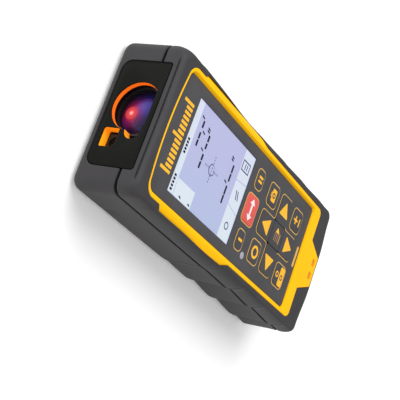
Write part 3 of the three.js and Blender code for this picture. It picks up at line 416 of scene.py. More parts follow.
def carve(mesh, tools, operation="DIFFERENCE"):
    """One closed mesh with others cut from it, or joined to it."""
    target = bpy.data.objects.new("carved", mesh)
    bpy.context.collection.objects.link(target)
    holders = [bpy.data.objects.new("tool", tool) for tool in tools]
    for holder in holders:
        bpy.context.collection.objects.link(holder)
        modifier = target.modifiers.new("cut", "BOOLEAN")
        modifier.operation = operation
        modifier.solver = "MANIFOLD"
        modifier.object = holder
    result = bpy.data.meshes.new_from_object(target.evaluated_get(bpy.context.evaluated_depsgraph_get()))
    for holder in [target, *holders]:
        bpy.data.objects.remove(holder)
    return result


def lathe_mesh(name, profile, centre, axis="y", sides=64):
    """A turned piece: a profile of (radius, place on the axis) swept round the axis through centre."""
    profile = np.array(profile, float)
    angle = np.linspace(0, 2 * math.pi, sides, endpoint=False)[:, None]
    across = profile[None, :, 0] * np.cos(angle)
    over = profile[None, :, 0] * np.sin(angle)
    run = np.broadcast_to(profile[None, :, 1], across.shape)
    if axis == "y":
        points = np.stack([centre[0] + across, run, centre[1] + over], axis=-1)
    elif axis == "x":
        points = np.stack([run, centre[0] + across, centre[1] + over], axis=-1)
    else:
        points = np.stack([centre[0] + across, centre[1] + over, run], axis=-1)
    return grid_mesh(name, points, wrap_u=True, wrap_v=profile[0, 0] > 0)


def block_mesh(name, x, y, z):
    return slab_mesh(name, [rectangle(*x, *y)], *z)


# ---------------------------------------------------------------- casing

CORNER = 4.5
BASE_CORNER = 3.7
CROWN = 1.8
WALL = 2.2
SEAM_LOW = below(7.55)
SEAM_HIGH = below(6.45)
BACK_EDGE = 3.4
EDGE = 4.5
GRIP_LINES = (7.5, -14.1, -35.1, -56.4)
GRIP_SHARE = (0.35, 1.0, 1.0, 0.8)
BEZEL_HALF = 25.3
EAR_HALF = box("bezel")[1][0] - 0.1
BEZEL_HIGH = box("bezel")[1][1]
TONGUE_LOW = box("bezel")[0][1]
BEZEL_LOW = down(132.8)
BOW = 1.5


def smooth_step(x):
    x = np.clip(x, 0, 1)
    return x * x * (3 - 2 * x)


def ring(half_top, top, side, y_top, y_low, half_low, low):
    """A closed outline with the same count of points for every piece, anticlockwise from the lens end.

    top and low give y from x, side gives x from y, and a quarter of an ellipse turns each corner.
    """
    turn = np.linspace(0, 0.5 * math.pi, 14)[1:-1]
    x_top = np.linspace(half_top, -half_top, 49)
    y_side = np.linspace(y_top, y_low, 400)
    x_low = np.linspace(-half_low, half_low, 141)
    x_side = side(y_side)
    reach_top = x_side[0] - half_top
    rise_top = top(np.array(half_top)) - y_top
    reach_low = x_side[-1] - half_low
    fall_low = y_low - low(np.array(half_low))
    left = [
        np.stack([x_top, top(x_top)], 1),
        np.stack([-half_top - reach_top * np.sin(turn), y_top + rise_top * np.cos(turn)], 1),
        np.stack([-x_side, y_side], 1),
        np.stack([-half_low - reach_low * np.cos(turn), y_low - fall_low * np.sin(turn)], 1),
        np.stack([x_low, low(x_low)], 1),
    ]
    mirror = np.array([-1.0, 1.0])
    return np.vstack(left + [left[3][::-1] * mirror, left[2][::-1] * mirror, left[1][::-1] * mirror])


def base_line(x):
    """The base bulges in its middle: it falls away by the crown towards both corners."""
    return BASE_END + CROWN * smooth_step((np.abs(x) - 9) / (HALF_WIDTH - BASE_CORNER - 9))


def bezel_ring(grow=0.0, ears=True):
    """The bezel's outer edge: a bowed top line, ears beside the screen and a tongue at the base."""
    ear = EAR_HALF if ears else BEZEL_HALF
    steps = [down(73.2), down(73.2) + 4.0, down(19.1), down(17.2)]
    widths = [BEZEL_HALF, ear, ear, BEZEL_HALF]
    return ring(20.2 + 0.4 * grow, lambda x: BEZEL_HIGH + grow - BOW * (x / 20.2) ** 2,
                lambda y: np.interp(y, steps, widths) + grow, BEZEL_HIGH - 6.5, BEZEL_LOW + 3, 22.3,
                lambda x: np.interp(np.abs(x), [6.8 + grow, 11.3 + grow], [TONGUE_LOW, BEZEL_LOW]) - grow)


def panel_ring(grow=0.0):
    """The keypad panel inside the bezel, with the same bowed top line."""
    low, high = box("keypad_panel")
    return ring(19.4, lambda x: high[1] + grow - BOW * (x / 20.2) ** 2, lambda y: high[0] + grow + 0 * y,
                high[1] - 5.0, low[1] + 1.8, high[0] - 1.8, lambda x: low[1] - grow + 0 * x)


BODY_POINTS = ring(HALF_WIDTH - CORNER, lambda x: LENS_END + 0 * x, lambda y: HALF_WIDTH + 0 * y,
                   LENS_END - CORNER, BASE_END + CROWN + BASE_CORNER, HALF_WIDTH - BASE_CORNER, base_line)
TANGENT = np.roll(BODY_POINTS, -1, axis=0) - np.roll(BODY_POINTS, 1, axis=0)
INWARD = np.stack([-TANGENT[:, 1], TANGENT[:, 0]], 1) / np.linalg.norm(TANGENT, axis=1, keepdims=True)
SIDENESS = np.abs(INWARD[:, 0]) ** 3
TOPNESS = np.clip(-INWARD[:, 1], 0, 1) ** 2


def grip_depth(y, z):
    """How far the side is drawn in at a place.

    Each grip starts with a narrow dark line that slants across the side, falls in over 4 mm and swells
    back over the next 15 mm. The grips are weaker on the front half. A small dent lies near the lens end.
    """
    lean = -0.136 * (z - 2.5)
    fade = 1 - 0.6 * smooth_step((z - 14) / 8)
    depth = 0.45 * np.exp(-((y - 53 - 0.3 * (z - 6)) / 2.2) ** 2 - ((z - 6.5) / 3.0) ** 2)
    for line, share in zip(GRIP_LINES, GRIP_SHARE):
        past = line + lean - y
        fall = smooth_step(past / 4.0)
        swell = np.clip(1 - (past - 4.0) / 15.0, 0, 1) ** 1.2
        groove = np.exp(-((past - 0.3) / 0.4) ** 2)
        depth = depth + share * (1.45 * fall * swell + 1.1 * groove)
    return depth * fade


def body_ring(inset, z, inward=INWARD, grips=1.0):
    """The casing's outline at one height, drawn in by a distance and by the grips."""
    depth = grip_depth(BODY_POINTS[:, 1], z) * SIDENESS * grips
    flat = BODY_POINTS + inward * (np.asarray(inset) + depth)[:, None]
    return np.column_stack([flat, np.broadcast_to(z, len(flat))])


def ear_share(outline):
    """How much of the ear's width each point of an outline stands out by: none is 0, all of it is 1."""
    return np.clip((np.abs(outline[:, 0]) - BEZEL_HALF) / (EAR_HALF - BEZEL_HALF), 0, 1) * SIDENESS


def window_outline(grow=0.0):
    """The end window in x and z: small corners in front, wide ones at the back."""
    low, high = box("end_window")
    return rounded([(low[0] - grow, low[2] - grow), (high[0] + grow, low[2] - grow),
                    (high[0] + grow, high[2] + grow), (low[0] - grow, high[2] + grow)],
                   [3.7 + grow, 3.7 + grow, 0.8 + grow, 0.8 + grow])


def front_casing_mesh():
    """The front half of the casing, as one closed profile carried round the outline.

    The outside is a quarter of an ellipse, 4.5 mm wide and taller at the sides, that runs in to the
    bezel's pocket. A fine crease follows it across the lens end. Inside, the wall keeps its thickness.
    """
    pocket = bezel_ring(0.1)
    top = FRONT - 0.5 * ear_share(pocket)
    foot = PANEL_TOP - 3.5 - 2.5 * SIDENESS
    room = np.linalg.norm(pocket - BODY_POINTS, axis=1)
    last = np.arccos(1 - np.minimum(1, room / EDGE))
    rows = [body_ring(0.5, SEAM_HIGH), body_ring(0.12, SEAM_HIGH + 0.08), body_ring(0.0, SEAM_HIGH + 0.3)]
    for share in (0.3, 0.6, 0.85):
        rows.append(body_ring(0.0, SEAM_HIGH + 0.3 + (foot - SEAM_HIGH - 0.3) * share))
    across = smooth_step((25.5 - np.abs(BODY_POINTS[:, 0])) / 2.5) * TOPNESS
    for share in np.concatenate([np.linspace(0, 0.3, 6), np.linspace(0.33, 0.56, 15), np.linspace(0.6, 1, 9)]):
        angle = last * share
        way = EDGE * (1 - np.cos(angle)) / room
        z = foot + (top - foot) * np.sin(angle)
        outer = body_ring(0.0, z, grips=1 - way)[:, :2]
        crease = 0.65 * across * np.exp(-((angle - 0.70) / 0.065) ** 2)
        place = outer + (pocket - outer) * way[:, None] + INWARD * (crease * np.cos(angle))[:, None]
        rows.append(np.column_stack([place, z - crease * np.sin(angle)]))
    edge = rows[-1]
    reach = np.linalg.norm(pocket - edge[:, :2], axis=1)
    for share in (0.4, 0.8):
        step = share * np.maximum(reach - 0.05, 0) / np.maximum(reach, 0.05)
        rows.append(np.column_stack([edge[:, :2] + (pocket - edge[:, :2]) * step[:, None], edge[:, 2]]))
    rows.append(np.column_stack([pocket, edge[:, 2] - 0.02]))
    rows.append(np.column_stack([pocket, np.full(len(pocket), PANEL_LOW)]))
    rows.append(body_ring(WALL, PANEL_LOW - 1.4))
    rows.append(body_ring(WALL, SEAM_HIGH))
    return grid_mesh("front_casing", np.stack(rows, axis=1), wrap_u=True, wrap_v=True)


def gasket_mesh():
    """The dark strip in the seam, which follows the grips."""
    low, high = box("seam_gasket")
    rows = [body_ring(0.8, SEAM_LOW + 0.02), body_ring(0.8, SEAM_HIGH - 0.02), body_ring(1.9, SEAM_HIGH - 0.02),
            body_ring(1.9, SEAM_LOW + 0.02)]
    return grid_mesh("gasket", np.stack(rows, axis=1), wrap_u=True, wrap_v=True)


def bezel_mesh():
    """The bezel as one closed profile: a ridge round the panel, and ears that slope down to the sides."""
    outer = bezel_ring()
    ridge = bezel_ring(-0.14, ears=False)
    foot = panel_ring(0.12)
    crest = foot - INWARD * (0.12 + 0.5 * (1 - TOPNESS))[:, None]
    low = np.full(len(outer), PANEL_LOW)
    edge = BEZEL_TOP - 0.12 - 1.2 * ear_share(outer)
    rows = [(outer, low), (outer, edge - 0.12), (outer + INWARD * 0.1, edge), (ridge, low * 0 + BEZEL_TOP - 0.02),
            (ridge + INWARD * 0.25, low * 0 + BEZEL_TOP), (crest - INWARD * 0.12, low * 0 + BEZEL_TOP),
            (crest, low * 0 + BEZEL_TOP - 0.1), (foot, low * 0 + PANEL_TOP - 0.05), (foot, low)]
    points = np.stack([np.column_stack(row) for row in rows], axis=1)
    return grid_mesh("bezel", points, wrap_u=True, wrap_v=True)


def back_casing_mesh():
    """The back half as a solid: flat back, round edge, side and the lip at the seam."""
    rows = [body_ring(BACK_EDGE + 0.15, 0.0)]
    for angle in np.linspace(0, 0.5 * math.pi, 15):
        ring = body_ring(BACK_EDGE * (1 - math.sin(angle)), BACK_EDGE * (1 - math.cos(angle)))
        rows.append(ring)
    for z in np.linspace(BACK_EDGE, SEAM_LOW - 0.5, 16)[1:]:
        rows.append(body_ring(0.0, z))
    rows.append(body_ring(0.0, SEAM_LOW - 0.3))
    rows.append(body_ring(0.12, SEAM_LOW - 0.05))
    rows.append(body_ring(0.45, SEAM_LOW))
    return grid_mesh("back_casing", np.stack(rows, axis=1), wrap_u=True, cap_v=True)


def inner_ring():
    """The inside of the casing's wall, as an outline."""
    return body_ring(WALL, 10.0)[:, :2]


def add_casing():
    window = window_outline(0.45)
    window_cut = slab_mesh("window_cut", [window], LENS_END - 2.5, LENS_END + 2, along="y")
    front = carve(front_casing_mesh(), [window_cut])
    piece = link("front_casing", front, RUBBER, "root", smooth=50)
    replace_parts(piece, "front_shell")
    strip = carve(gasket_mesh(), [slab_mesh("window_cut", [window], LENS_END - 2.6, LENS_END + 2, along="y")])
    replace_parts(link("gasket_strip", strip, GASKET, "root"), "seam_gasket")
    add_back_casing(window)


def add_back_casing(window):
    """The back half: the hollow is cut round the battery bay, the end piece's floor and the bosses."""
    cover_low, cover_high = box("battery_cover")
    half_cover = 16.9
    bay = (-15.5, 15.5)
    bay_y = (-50.95, 4.75)
    cell_top = box("battery_1")[1][2] + 0.35
    hollow = slab_mesh("hollow", [inner_ring()], WALL, SEAM_LOW + 3)
    keeps = [
        block_mesh("keep_bay", (bay[0] - 1.2, bay[1] + 1.2), (bay_y[0] - 1.2, bay_y[1] + 1.2), (0, cell_top + 1.2)),
        block_mesh("keep_piece", (-12.9, 12.9), (BASE_END - 5, bay_y[0] - 0.2), (-1, 4.9)),
        slab_mesh("keep_tripod", [circle(0, tripod_centre()[1], 6.9)], -1, 8),
    ]
    hollow = carve(hollow, keeps)
    tools = [
        hollow,
        slab_mesh("window_cut", [window], LENS_END - 2.6, LENS_END + 2, along="y"),
        block_mesh("bay", bay, bay_y, (-1, cell_top)),
        slab_mesh("cover_seat", [rectangle(-half_cover - 0.25, half_cover + 0.25, cover_low[1] - 0.25,
                                           cover_high[1] + 0.25, 0.4)], -1, cover_high[2] + 0.1),
        block_mesh("piece_seat", (-9.7, 9.7), (BASE_END - 2, box("end_piece")[1][1] + 0.4), (-1, 3.3)),
        block_mesh("root_seat", (-9.7, 9.7), (BASE_END - 2, box("end_piece")[0][1] + 3.6), (-1, 3.7)),
        slab_mesh("tripod_seat", [circle(0, tripod_centre()[1], 5.65)], -1, 12),
    ]
    pivot = (cover_low[1] + (cover_high[2] - cover_low[2]) / 2, (cover_low[2] + cover_high[2]) / 2)
    reach = cover_high[0] + 0.15
    tools.append(lathe_mesh("stub_hole", [(0, -reach), (0.62, -reach), (0.62, reach), (0, reach)], pivot, "x", 24))
    for number in range(1, 5):
        low, high = box(f"case_screw_{number}")
        middle = (low + high) / 2
        tools.append(slab_mesh("screw_hole", [circle(middle[0], middle[1], 2.5, 40)], -1, 3.8))
    back = carve(back_casing_mesh(), tools)
    piece = link("back_casing", back, RUBBER, "root", smooth=50)
    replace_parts(piece, "back_shell")


def tripod_centre():
    low, high = box("tripod_insert")
    return (low + high) / 2


# ---------------------------------------------------------------- front panel

KEY_LINE = 0.2
PLAIN = {
    "key_f1": (-13.15, 76.6, 8.5, 6.2), "key_f2": (13.0, 76.6, 8.5, 6.2),
    "key_measure": (-0.1, 76.85, 12.3, 10.0), "key_function": (-12.65, 90.3, 9.7, 8.8),
    "key_camera": (12.45, 90.3, 9.7, 8.8), "key_clear": (-12.75, 115.7, 9.8, 9.5),
    "key_plus_minus": (12.35, 115.5, 9.8, 9.3),
}
CROSS_Y = down(102.9)
ARM = 5.3
CROSS_WIDE = 17.4
CROSS_TALL = 17.1


def key_outline(name, inset):
    x, distance, width, height = PLAIN[name]
    y = down(distance)
    return rectangle(x - width / 2 + inset, x + width / 2 - inset, y - height / 2 + inset,
                     y + height / 2 - inset, max(0.2, 2.0 - inset))


def cross_outline(inset):
    """The cross round the five middle keys: round tips, and smaller rounds in its inner corners."""
    arm = ARM - inset
    wide = CROSS_WIDE - inset
    tall = CROSS_TALL - inset
    points = [(arm, arm), (arm, tall), (-arm, tall), (-arm, arm), (-wide, arm), (-wide, -arm), (-arm, -arm),
              (-arm, -tall), (arm, -tall), (arm, -arm), (wide, -arm), (wide, arm)]
    tip = 2.0 - inset
    inner = 1.3 + inset
    return rounded(points, [inner, tip, tip] * 4) + np.array([0, CROSS_Y])


def add_bezel():
    nicks = [rectangle(x - 1.6, x + 1.6, TONGUE_LOW + 1.9, TONGUE_LOW + 4.6, 0.6) for x in (-2.7, 3.3)]
    cuts = [slab_mesh("nick", [nick], BEZEL_TOP - 0.5, BEZEL_TOP + 1) for nick in nicks]
    piece = link("bezel_ring", carve(bezel_mesh(), cuts), YELLOW, "root")
    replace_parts(piece, "bezel")
    # The nicks' floors are coloured darker orange as painted shade.
    slab("nick_floor", [grown(nick, -0.05) for nick in nicks], BEZEL_TOP - 0.8, BEZEL_TOP - 0.3, NICK_PAINTED_SHADE)


def add_panel():
    low, high = box("display_window")
    screen = rectangle(low[0] - 0.1, high[0] + 0.1, low[1] - 0.1, high[1] + 0.1, 0.2)
    sensor_low, sensor_high = box("light_sensor")
    sensor = (sensor_low + sensor_high) / 2
    holes = [key_outline(name, KEY_LINE) for name in PLAIN]
    outlines = [panel_ring(), screen, cross_outline(KEY_LINE), circle(sensor[0], sensor[1], 1.62), *holes]
    piece = slab("keypad_plate", outlines, PANEL_LOW, PANEL_TOP, PANEL, bevel=0.06)
    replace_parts(piece, "keypad_panel")
    print_top = PANEL_TOP + 0.03
    for name in PLAIN:
        lines = [key_outline(name, -0.2), key_outline(name, 0.2)]
        slab(f"{name}_outline", lines, PANEL_TOP - 0.3, print_top, PRINT_GOLD)
    slab("cross_outline", [cross_outline(-0.2), cross_outline(0.2)], PANEL_TOP - 0.3, print_top, PRINT_GOLD)
    dot = lathe_mesh("sensor_dot", [(0, PANEL_LOW), (1.5, PANEL_LOW), (1.5, PANEL_TOP - 0.02), (1.3, PANEL_TOP + 0.1),
                                    (0.8, PANEL_TOP + 0.2), (0, PANEL_TOP + 0.24)], sensor[:2], axis="z")
    piece = link("sensor_dot", dot, SENSOR, "root")
    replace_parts(piece, "light_sensor")


def add_keys():
    for name in PLAIN:
        finish = MEASURE_KEY if name == "key_measure" else KEY
        piece = slab(f"{name}_cap", [key_outline(name, KEY_LINE + 0.12)], KEY_LOW, KEY_TOP, finish, name,
                     bevel=0.28)
        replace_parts(piece, name)
    near = ARM - 0.005
    far = ARM + 0.005
    arm = ARM - KEY_LINE - 0.12
    tall = CROSS_TALL - KEY_LINE - 0.12
    wide = CROSS_WIDE - KEY_LINE - 0.12
    shapes = {
        "key_up": rounded([(-arm, far), (arm, far), (arm, tall), (-arm, tall)], [0.5, 0.5, 1.5, 1.5]),
        "key_down": rounded([(-arm, -tall), (arm, -tall), (arm, -far), (-arm, -far)], [1.5, 1.5, 0.5, 0.5]),
        "key_left": rounded([(-wide, -arm), (-far, -arm), (-far, arm), (-wide, arm)], [1.5, 0.5, 0.5, 1.5]),
        "key_right": rounded([(far, -arm), (wide, -arm), (wide, arm), (far, arm)], [0.5, 1.5, 1.5, 0.5]),
        "key_equals": rectangle(-min(arm, near), min(arm, near), -min(arm, near), min(arm, near), 0.8),
    }
    for name, outline in shapes.items():
        piece = slab(f"{name}_cap", [outline + np.array([0, CROSS_Y])], KEY_LOW, KEY_TOP, KEY, name)
        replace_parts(piece, name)


def mark(name, outlines, body, material=PRINT_YELLOW):
    """A printed mark on a key, a hair above its top."""
    return slab(name, outlines, KEY_TOP - 0.05, KEY_TOP + 0.025, material, body)


def at(outline, x, y, turn=0.0):
    """An outline turned by degrees and moved."""
    a = math.radians(turn)
    spin = np.array([[math.cos(a), math.sin(a)], [-math.sin(a), math.cos(a)]])
    return np.asarray(outline, float) @ spin + np.array([x, y])


def add_key_marks():
    arrow = rounded([(-3.6, 0), (3.6, 0), (0, 7.0)], [0.35, 0.35, 0.35], 3)
    mark("arrow_up", [at(arrow, 0, down(94.9))], "key_up")
    mark("arrow_down", [at(arrow, 0, down(111.5), 180)], "key_down")
    sideways = rounded([(-4.15, 0), (4.15, 0), (0, 6.3)], [0.35, 0.35, 0.35], 3)
    mark("arrow_left", [at(sideways, -9.3, CROSS_Y, 90)], "key_left")
    mark("arrow_right", [at(sideways, 8.8, CROSS_Y, -90)], "key_right")
    bars = [rectangle(-2.5, 1.3, y - 0.22, y + 0.22) for y in (-1.2, 0.2, 1.6)] + [rectangle(-2.7, 1.6, -3.1, -2.2)]
    mark("equals_bars", [at(b, 0, CROSS_Y) for b in bars], "key_equals", PRINT_BROWN)
    mark("equals_tick", [at(rounded([(0.9, -3.2), (3.2, -0.6), (0.9, 0.4)], 0.2, 3), 0.3, CROSS_Y + 1.2)],
         "key_equals")
    x, y = PLAIN["key_function"][0], down(PLAIN["key_function"][1])
    mark("function_ring", [circle(x, y, 2.75), circle(x, y, 1.65)], "key_function")
    x, y = PLAIN["key_f1"][0], down(PLAIN["key_f1"][1])
    mark("f1_bars", [rectangle(x - 0.55, x + 0.55, y - 1.6, y + 1.6)], "key_f1")
    x, y = PLAIN["key_f2"][0], down(PLAIN["key_f2"][1])
    mark("f2_bars", [rectangle(x - 1.4, x - 0.4, y - 1.6, y + 1.6), rectangle(x + 0.4, x + 1.4, y - 1.6, y + 1.6)],
         "key_f2")
    x, y = PLAIN["key_camera"][0], down(PLAIN["key_camera"][1])
    mark("camera_mark", [rectangle(x - 2.7, x + 2.7, y - 1.9, y + 1.7, 0.5), circle(x, y - 0.1, 1.25),
                         circle(x, y - 0.1, 0.6), rectangle(x - 1, x + 1, y + 1.9, y + 2.5)], "key_camera")
    x, y = PLAIN["key_plus_minus"][0], down(PLAIN["key_plus_minus"][1])
    plus = [(-0.45, -0.45), (-0.45, -1.8), (0.45, -1.8), (0.45, -0.45), (1.8, -0.45), (1.8, 0.45), (0.45, 0.45),
            (0.45, 1.8), (-0.45, 1.8), (-0.45, 0.45), (-1.8, 0.45), (-1.8, -0.45)]
    mark("plus_minus_mark", [at(plus, x, y + 1.3), rectangle(x - 1.8, x + 1.8, y - 2.6, y - 1.7)], "key_plus_minus")
    x, y = PLAIN["key_clear"][0], down(PLAIN["key_clear"][1])
    field = rectangle(x - 4.1, x + 4.1, y - 4.0, y + 0.2, 0.9)
    mark("clear_field", [field, circle(x - 0.2, y - 1.9, 1.2), circle(x - 0.2, y - 1.9, 0.65)], "key_clear")
    mark("clear_ring", [circle(x, y + 2.3, 1.35), circle(x, y + 2.3, 0.75)], "key_clear")
    x, y = PLAIN["key_measure"][0], down(PLAIN["key_measure"][1])
    double = [(-4.6, 0), (-2.3, 2.1), (-2.3, 0.6), (2.3, 0.6), (2.3, 2.1), (4.6, 0), (2.3, -2.1), (2.3, -0.6),
              (-2.3, -0.6), (-2.3, -2.1)]
    mark("measure_arrow", [at(double, x, y)], "key_measure", PRINT_WHITE)


def add_panel_marks():
    """A row of ruler ticks over the screen and a small bar under the keys, in place of any name."""
    count = 15
    ticks = []
    for number, x in enumerate(np.linspace(-13.2, 13.2, count)):
        tall = 6.8 if number % 7 == 0 else 4.2
        ticks.append(rectangle(x - 0.6, x + 0.6, down(17.6), down(17.6) + tall, 0.2, 3))
    slab("ruler_ticks", ticks, PANEL_TOP - 0.3, PANEL_TOP + 0.04, PRINT_YELLOW)
    slab("small_bar", [rectangle(-5, 4.2, down(125.2), down(123.6), 0.4)], PANEL_TOP - 0.3, PANEL_TOP + 0.03,
         PRINT_GOLD)


# ---------------------------------------------------------------- screen


def screen_finish(name, left, right, share=0.5):
    """A lit display: one tone that turns into another to the right, partly its own light."""
    material, nodes, links, shader = new_finish(name)
    place = nodes.new("ShaderNodeTexCoord")
    split = nodes.new("ShaderNodeSeparateXYZ")
    links.new(place.outputs["Object"], split.inputs["Vector"])
    across = nodes.new("ShaderNodeMapRange")
    across.inputs["From Min"].default_value = -18 * MM
    across.inputs["From Max"].default_value = 18 * MM
    links.new(split.outputs["X"], across.inputs["Value"])
    cells = nodes.new("ShaderNodeTexNoise")
    cells.inputs["Scale"].default_value = 70
    links.new(place.outputs["Object"], cells.inputs["Vector"])
    shift = nodes.new("ShaderNodeMath")
    shift.operation = "MULTIPLY_ADD"
    shift.inputs[1].default_value = 0.3
    links.new(cells.outputs["Fac"], shift.inputs[0])
    links.new(across.outputs["Result"], shift.inputs[2])
    tone = nodes.new("ShaderNodeValToRGB")
    tone.color_ramp.elements[0].color = (*left, 1)
    tone.color_ramp.elements[1].color = (*right, 1)
    tone.color_ramp.elements[0].position = 0.1
    links.new(shift.outputs["Value"], tone.inputs["Fac"])
    dim = nodes.new("ShaderNodeVectorMath")
    dim.operation = "SCALE"
    dim.inputs["Scale"].default_value = share
    links.new(tone.outputs["Color"], dim.inputs[0])
    links.new(dim.outputs["Vector"], shader.inputs["Base Color"])
    links.new(tone.outputs["Color"], shader.inputs["Emission Color"])
    shader.inputs["Emission Strength"].default_value = 1 - share
    shader.inputs["Roughness"].default_value = 0.4
    shader.inputs["Specular IOR Level"].default_value = 0.1
    return material


LCD_BLUE = screen_finish("lit_screen", (0.52, 0.60, 0.86), (0.56, 0.57, 0.86))
LCD_WHITE = screen_finish("screen_white", (0.80, 0.90, 0.98), (0.78, 0.84, 0.98))
LCD_INK = screen_finish("screen_ink", (0.016, 0.018, 0.06), (0.014, 0.014, 0.05), 0.8)
LCD_FAINT = screen_finish("screen_faint", (0.11, 0.13, 0.27), (0.11, 0.12, 0.26))


def add_screen():
    low, high = box("lcd_panel")
    lit_low, lit_high = box("display_window")
    face = rectangle(lit_low[0], lit_high[0], lit_low[1], lit_high[1], 0.2)
    glass = slab("screen_glass", [face], lit_high[2] - 0.2, lit_high[2], GLASS, bevel=0.03)
    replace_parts(glass, "display_window")
    layers = slab_mesh("lcd_layers", [rectangle(low[0], high[0], low[1], high[1], 0.4)], low[2], PANEL_LOW - 0.05)
    lit = slab_mesh("lcd_lit", [face], low[2] + 0.3, lit_high[2] - 0.35)
    piece = link("lcd_glass", carve(layers, [lit], "UNION"), LCD_BLUE, "root")
    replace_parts(piece, "lcd_panel")
    add_screen_picture(lit_high[2] - 0.33, lit_low[0] + 0.2, lit_high[0] - 0.2, lit_high[1] - 0.16)


def slanted(x, y, tall, wide=0.6, turn=-18):
    """A small slanted stroke centred at a place."""
    return at(rectangle(-wide / 2, wide / 2, -tall / 2, tall / 2), x, y, turn)


def add_screen_picture(top, x0, x1, y1):
    """What the display shows: bars, fields, dashes for the readings and a sighting cross. All lie flat on it."""
    y0 = y1 - 48.9

    def picture(name, outlines, material, lift):
        slab(name, [np.array(outline, float) + np.array([0, y1]) for outline in outlines], top - 0.03, top + lift,
             material)

    picture("status_bar", [rectangle(x0, x1, -4.0, 0)], LCD_WHITE, 0.0)
    picture("left_field", [rectangle(x0, -11.6, -17.3, -4.3)], LCD_WHITE, 0.0)
    low = -48.9
    fields = [[(x0, low), (-6.7, low), (-4.9, low + 8.4), (x0, low + 8.4)],
              [(-6.3, low), (6.0, low), (5.3, low + 8.4), (-4.5, low + 8.4)],
              [(6.4, low), (x1, low), (x1, low + 8.4), (5.7, low + 8.4)]]
    picture("soft_key_bar", fields, LCD_WHITE, 0.0)
    spans = {-7.27: ((2.8, 5.3), (5.7, 8.2), (10.05, 12.8)), -13.6: ((-3.1, -0.4), (0.05, 2.55), (4.6, 6.9), (7.5, 10.05)),
             -35.6: ((-7.0, -3.6), (-3.3, 0.3), (2.1, 5.3), (5.7, 8.9))}
    dashes = [rectangle(a, b, y - 0.55, y + 0.55) for y, row in spans.items() for a, b in row]
    dashes += [slanted(x, y, 1.8) for x, y in ((3.6, -11.8), (10.9, -12.0), (11.9, -12.0), (9.05, -9.3), (1.2, -33.6),
                                               (10.2, -33.4), (11.2, -33.4), (13.7, -5.9))]
    picture("readings", dashes, LCD_INK, 0.03)
    small = [rectangle(x, x + 0.9, -2.6, -1.2) for x in np.arange(-17.5, -11.6, 1.35)]
    small += [rectangle(x, x + 0.9, -2.6, -1.2) for x in np.arange(-2.9, 2.4, 1.3)]
    small += [slanted(-17.2, -8.9, 1.6), slanted(-17.2, -15.7, 1.4)]
    picture("status_marks", small, LCD_INK, 0.03)
    sight = -22.3
    cells = [rectangle(-4.7 + k * 1.1, -4.3 + k * 1.1, sight - 0.28, sight + 0.28) for k in range(10)]
    cells += [rectangle(0.02, 0.58, sight - 5 + k * 1.1, sight - 4.6 + k * 1.1) for k in range(10) if k not in (4, 5)]
    cells += [circle(0.3, sight, 2.3, 32), circle(0.3, sight, 1.9, 32)]
    picture("sight_cross", cells, LCD_FAINT, 0.03)
    icons = [rectangle(10.05, 14.6, -47.3, -41.1), rectangle(10.6, 14.05, -46.75, -41.65),
             rectangle(11.2, 13.5, -44.0, -43.4), rectangle(11.2, 13.5, -45.5, -44.9),
             circle(-12.5, -44.6, 1.6, 24), circle(-12.5, -44.6, 1.1, 24),
             at(rectangle(-1.9, 1.9, -0.3, 0.3), 0.3, -44.0, 20), at(rectangle(-1.9, 1.9, -0.3, 0.3), 0.3, -45.4, 20)]
    picture("soft_key_icons", icons, LCD_FAINT, 0.03)


# ---------------------------------------------------------------- lens end

RECEIVER = np.array([3.1, below(11.4)])
RECEIVER_RADIUS = 9.0
FLAT_Z = below(5.0)
LOBE = np.array([-6.0, below(8.6)])
LOBE_RADIUS = 3.1
CAMERA_HOLE = (-13.35, -6.15, below(20.4), below(14.0))
LASER = np.array([2.0, below(14.8)])


def keyhole_outline(grow=0.0):
    """The receiver's opening: a circle cut flat in front, joined on its left to a small round lobe."""
    angle = np.linspace(0, 2 * math.pi, 400, endpoint=False)
    way = np.stack([np.cos(angle), np.sin(angle)], 1)
    reach = np.full(len(angle), RECEIVER_RADIUS + grow)
    flat = FLAT_Z + grow - RECEIVER[1]
    rising = way[:, 1] > 1e-6
    reach[rising] = np.minimum(reach[rising], flat / way[rising, 1])
    offset = LOBE - RECEIVER
    along = way @ offset
    chord = along ** 2 - offset @ offset + (LOBE_RADIUS + grow) ** 2
    hit = (chord > 0) & (along > 0)
    lobe = np.zeros(len(angle))
    lobe[hit] = along[hit] + np.sqrt(chord[hit])
    reach = np.maximum(reach, lobe)
    return RECEIVER + way * reach[:, None]


